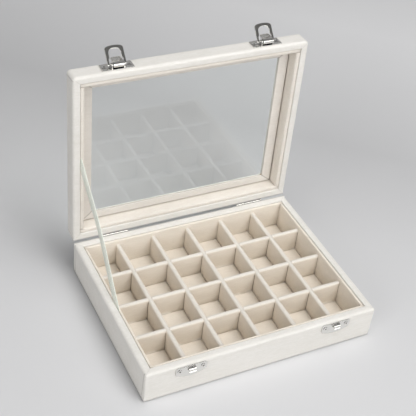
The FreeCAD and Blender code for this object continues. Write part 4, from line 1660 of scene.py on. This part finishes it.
@dataclass
class Studio:
    """A pale seamless floor, soft lamps and the camera.

    Attributes:
        flat: Radius of the floor's flat middle, in metres.
        sweep: Radius of the sweep that rises round it, in metres.
        segments: Segments round the floor.
        tones: The floor's painted shading, a tone at each distance away from the camera, in metres.
        away: Direction away from the camera, along X and Y.
        tone_start: Where the tones' ramp starts, in metres.
        tone_length: How far it runs, in metres.
        mottle: How far the paper's grain shifts the tones, in metres.
        sky: Brightness of the room around.
        mirrored_front: Brightness of the room before the box, as metal and glass mirror it.
        mirrored_back: Brightness of the room behind it, as metal and glass mirror it.
        lamps: The lamps.
        azimuth: Where the camera stands, in degrees from the front.
        elevation: How far it looks down, in degrees.
        roll: How far it leans, in degrees.
        camera: Its place, in millimetres.
        focal: Its focal length, in pixels.
        centre: The picture point on its axis, in pixels.
        frame_size: The picture's side, in pixels.
    """

    flat: float = 1.6
    sweep: float = 1.2
    segments: int = 96
    tones: tuple[tuple[float, int], ...] = ((-0.05, 211), (0.12, 209), (0.27, 198), (0.4, 216), (0.52, 231))
    away: tuple[float, float] = (0.668, 0.752)
    tone_start: float = -0.1
    tone_length: float = 0.7
    mottle: float = 0.01
    sky: float = 0.12
    mirrored_front: float = 0.07
    mirrored_back: float = 0.36
    lamps: tuple[Lamp, ...] = (
        Lamp("key", (0.45, -0.8, 1.3), (0, 0, 0.05), 0.8, 6.5, False),
        Lamp("top", (0.2, -0.2, 1.5), (0, 0.05, 0.05), 0.9, 10.8, False),
        Lamp("front", (0.4, -1.5, 0.75), (0, 0, 0.05), 1.1, 9.6),
        Lamp("fill", (-1.3, -0.7, 0.7), (0, 0, 0.05), 0.9, 8.3))
    azimuth: float = -31.018
    elevation: float = 40.865
    roll: float = 7.754
    camera: Place = (-303.62, -495.43, 565.3)
    focal: float = 968.14
    centre: tuple[float, float] = (220.6, 244.7)
    frame_size: float = 416.0

    def floor_finish(self) -> bpy.types.Material:
        """Matt paper, with painted shade in a soft band behind the box and painted light beyond it."""
        recipe = Recipe("studio_paper")
        place = recipe.place()
        x, y, _ = recipe.parts(place)
        far = x * self.away[0] + y * self.away[1] + (recipe.noise(place, 300.0, 3.0) - 0.5) * self.mottle
        # Painted shading: the floor is darker in a band behind the box and lighter beyond it.
        stops = [((start - self.tone_start) / self.tone_length, tint(tone, tone, tone + 1))
                 for start, tone in self.tones]
        colour = recipe.node("ShaderNodeValToRGB", {"stops": stops}, {
            0: (far - self.tone_start) * (1 / self.tone_length)}).outputs[0]
        return recipe.solid({"Base Color": colour, "Roughness": 0.75, "Specular IOR Level": 0.15})

    def floor(self) -> None:
        """A round floor that sweeps up at its rim: flat to a radius, then a quarter round."""
        come, rise = arc(self.sweep, 16)
        inner = np.linspace(0.02, self.flat, 12)[:-1]
        radius = np.concatenate([inner, self.flat + rise])[:, None]
        height = np.concatenate([np.zeros(len(inner)), come])[:, None]
        angle = round_turn(self.segments)[None, :]
        rings = gathered(radius * np.cos(angle), radius * np.sin(angle), height)
        faces = loft(rings).quads.tolist() + [list(range(self.segments))]
        floor = link_mesh("studio_floor", rings.reshape(-1, 3), faces, self.floor_finish())

    def room(self) -> None:
        """A grey room around the floor; metal and glass mirror it darker in front and lighter behind."""
        recipe = Recipe("studio_room", True)
        _, back, _ = recipe.parts(recipe.node("ShaderNodeTexCoord").outputs["Generated"])
        tones = self.mirrored_front, self.mirrored_back, self.sky
        front_grey, back_grey, grey = ([tone] * 3 for tone in tones)
        mirrored = recipe.mix(recipe.clamp(back * 0.6 + 0.5), front_grey, back_grey)
        tone = recipe.mix(recipe.node("ShaderNodeLightPath").outputs["Is Glossy Ray"], grey, mirrored)
        background = recipe.node("ShaderNodeBackground", None, {"Color": tone})
        recipe.node("ShaderNodeOutputWorld", None, {"Surface": background.outputs[0]})

    def place_camera(self) -> None:
        """Sets the camera at the photograph's viewing angle."""
        turn, tilt, lean = np.radians([self.azimuth, self.elevation, self.roll])
        back = np.array([np.sin(turn) * np.cos(tilt), -np.cos(turn) * np.cos(tilt), np.sin(tilt)])
        right = np.array([np.cos(turn), np.sin(turn), 0])
        up = np.cross(back, right)
        lens = bpy.data.cameras.new("camera")
        lens.sensor_width = 36.0
        lens.lens = self.focal / self.frame_size * lens.sensor_width
        lens.shift_x = -(self.centre[0] / self.frame_size - 0.5)
        lens.shift_y = self.centre[1] / self.frame_size - 0.5
        lens.clip_start = 0.01
        camera = link("camera", lens)
        across = right * np.cos(lean) + up * np.sin(lean)
        upright = up * np.cos(lean) - right * np.sin(lean)
        stand(camera, across, upright, back, np.array(self.camera) * METRES)
        bpy.context.scene.camera = camera

    def build(self) -> None:
        """Builds the studio."""
        self.floor()
        self.room()
        for lamp in self.lamps:
            lamp.hang()
        self.place_camera()
        bpy.context.scene.view_settings.view_transform = "Standard"
        LOG.info("studio: %d lamps", len(self.lamps))


def main() -> None:
    """Builds the box's pieces in order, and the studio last."""
    logging.basicConfig(level=logging.INFO, format="%(message)s")
    # Each velvet's third colour is its painted shade colour in folds, seams and gaps.
    velvet, tray, divider, lining, strip = (
        VelvetFinish(name, *(tint(*colour) for colour in colours)).material() for name, *colours in (
            ("ivory_velvet", (231, 228, 223), (221, 218, 211), (66, 60, 53)),
            ("tray_velvet", (237, 229, 217), (228, 219, 206), (98, 80, 64)),
            # A darker copy of the tray velvet: painted shade for the cell walls.
            ("shaded_divider_velvet", (231, 222, 209), (221, 211, 197), (98, 80, 64)),
            ("lining_velvet", (232, 226, 217), (222, 215, 205), (104, 88, 74)),
            # A darker copy of the lining velvet: painted shade for the strips that hold the pane.
            ("shaded_strip_velvet", (226, 221, 214), (216, 210, 202), (110, 97, 86))))
    felt = FeltFinish(tint(214, 208, 198), tint(186, 178, 166)).material()
    board = BoardFinish(tint(190, 160, 122), tint(134, 104, 74)).material()
    # The nickel's third colour is the painted shade in recesses and gaps.
    nickel = NickelFinish(tint(246, 245, 241), tint(230, 228, 224), tint(52, 50, 47)).material()
    ribbon = RibbonFinish(tint(250, 252, 244), tint(232, 238, 224)).material()
    RibbonStay().build(ribbon)
    Base().build(velvet, tray, divider, felt)
    Lid().build(velvet, lining, strip)
    Fittings().build(nickel)
    dress_nodes(["base_%s_board" % side for side in (*SIDES, "bottom")], board)
    dress_nodes(["lid_%s_rail" % side for side in SIDES] + ["lid_window_panel"], board)
    dress_nodes(["lid_glass_pane"], PaneFinish().material())
    Studio().build()


if __name__ == "__main__":
    main()
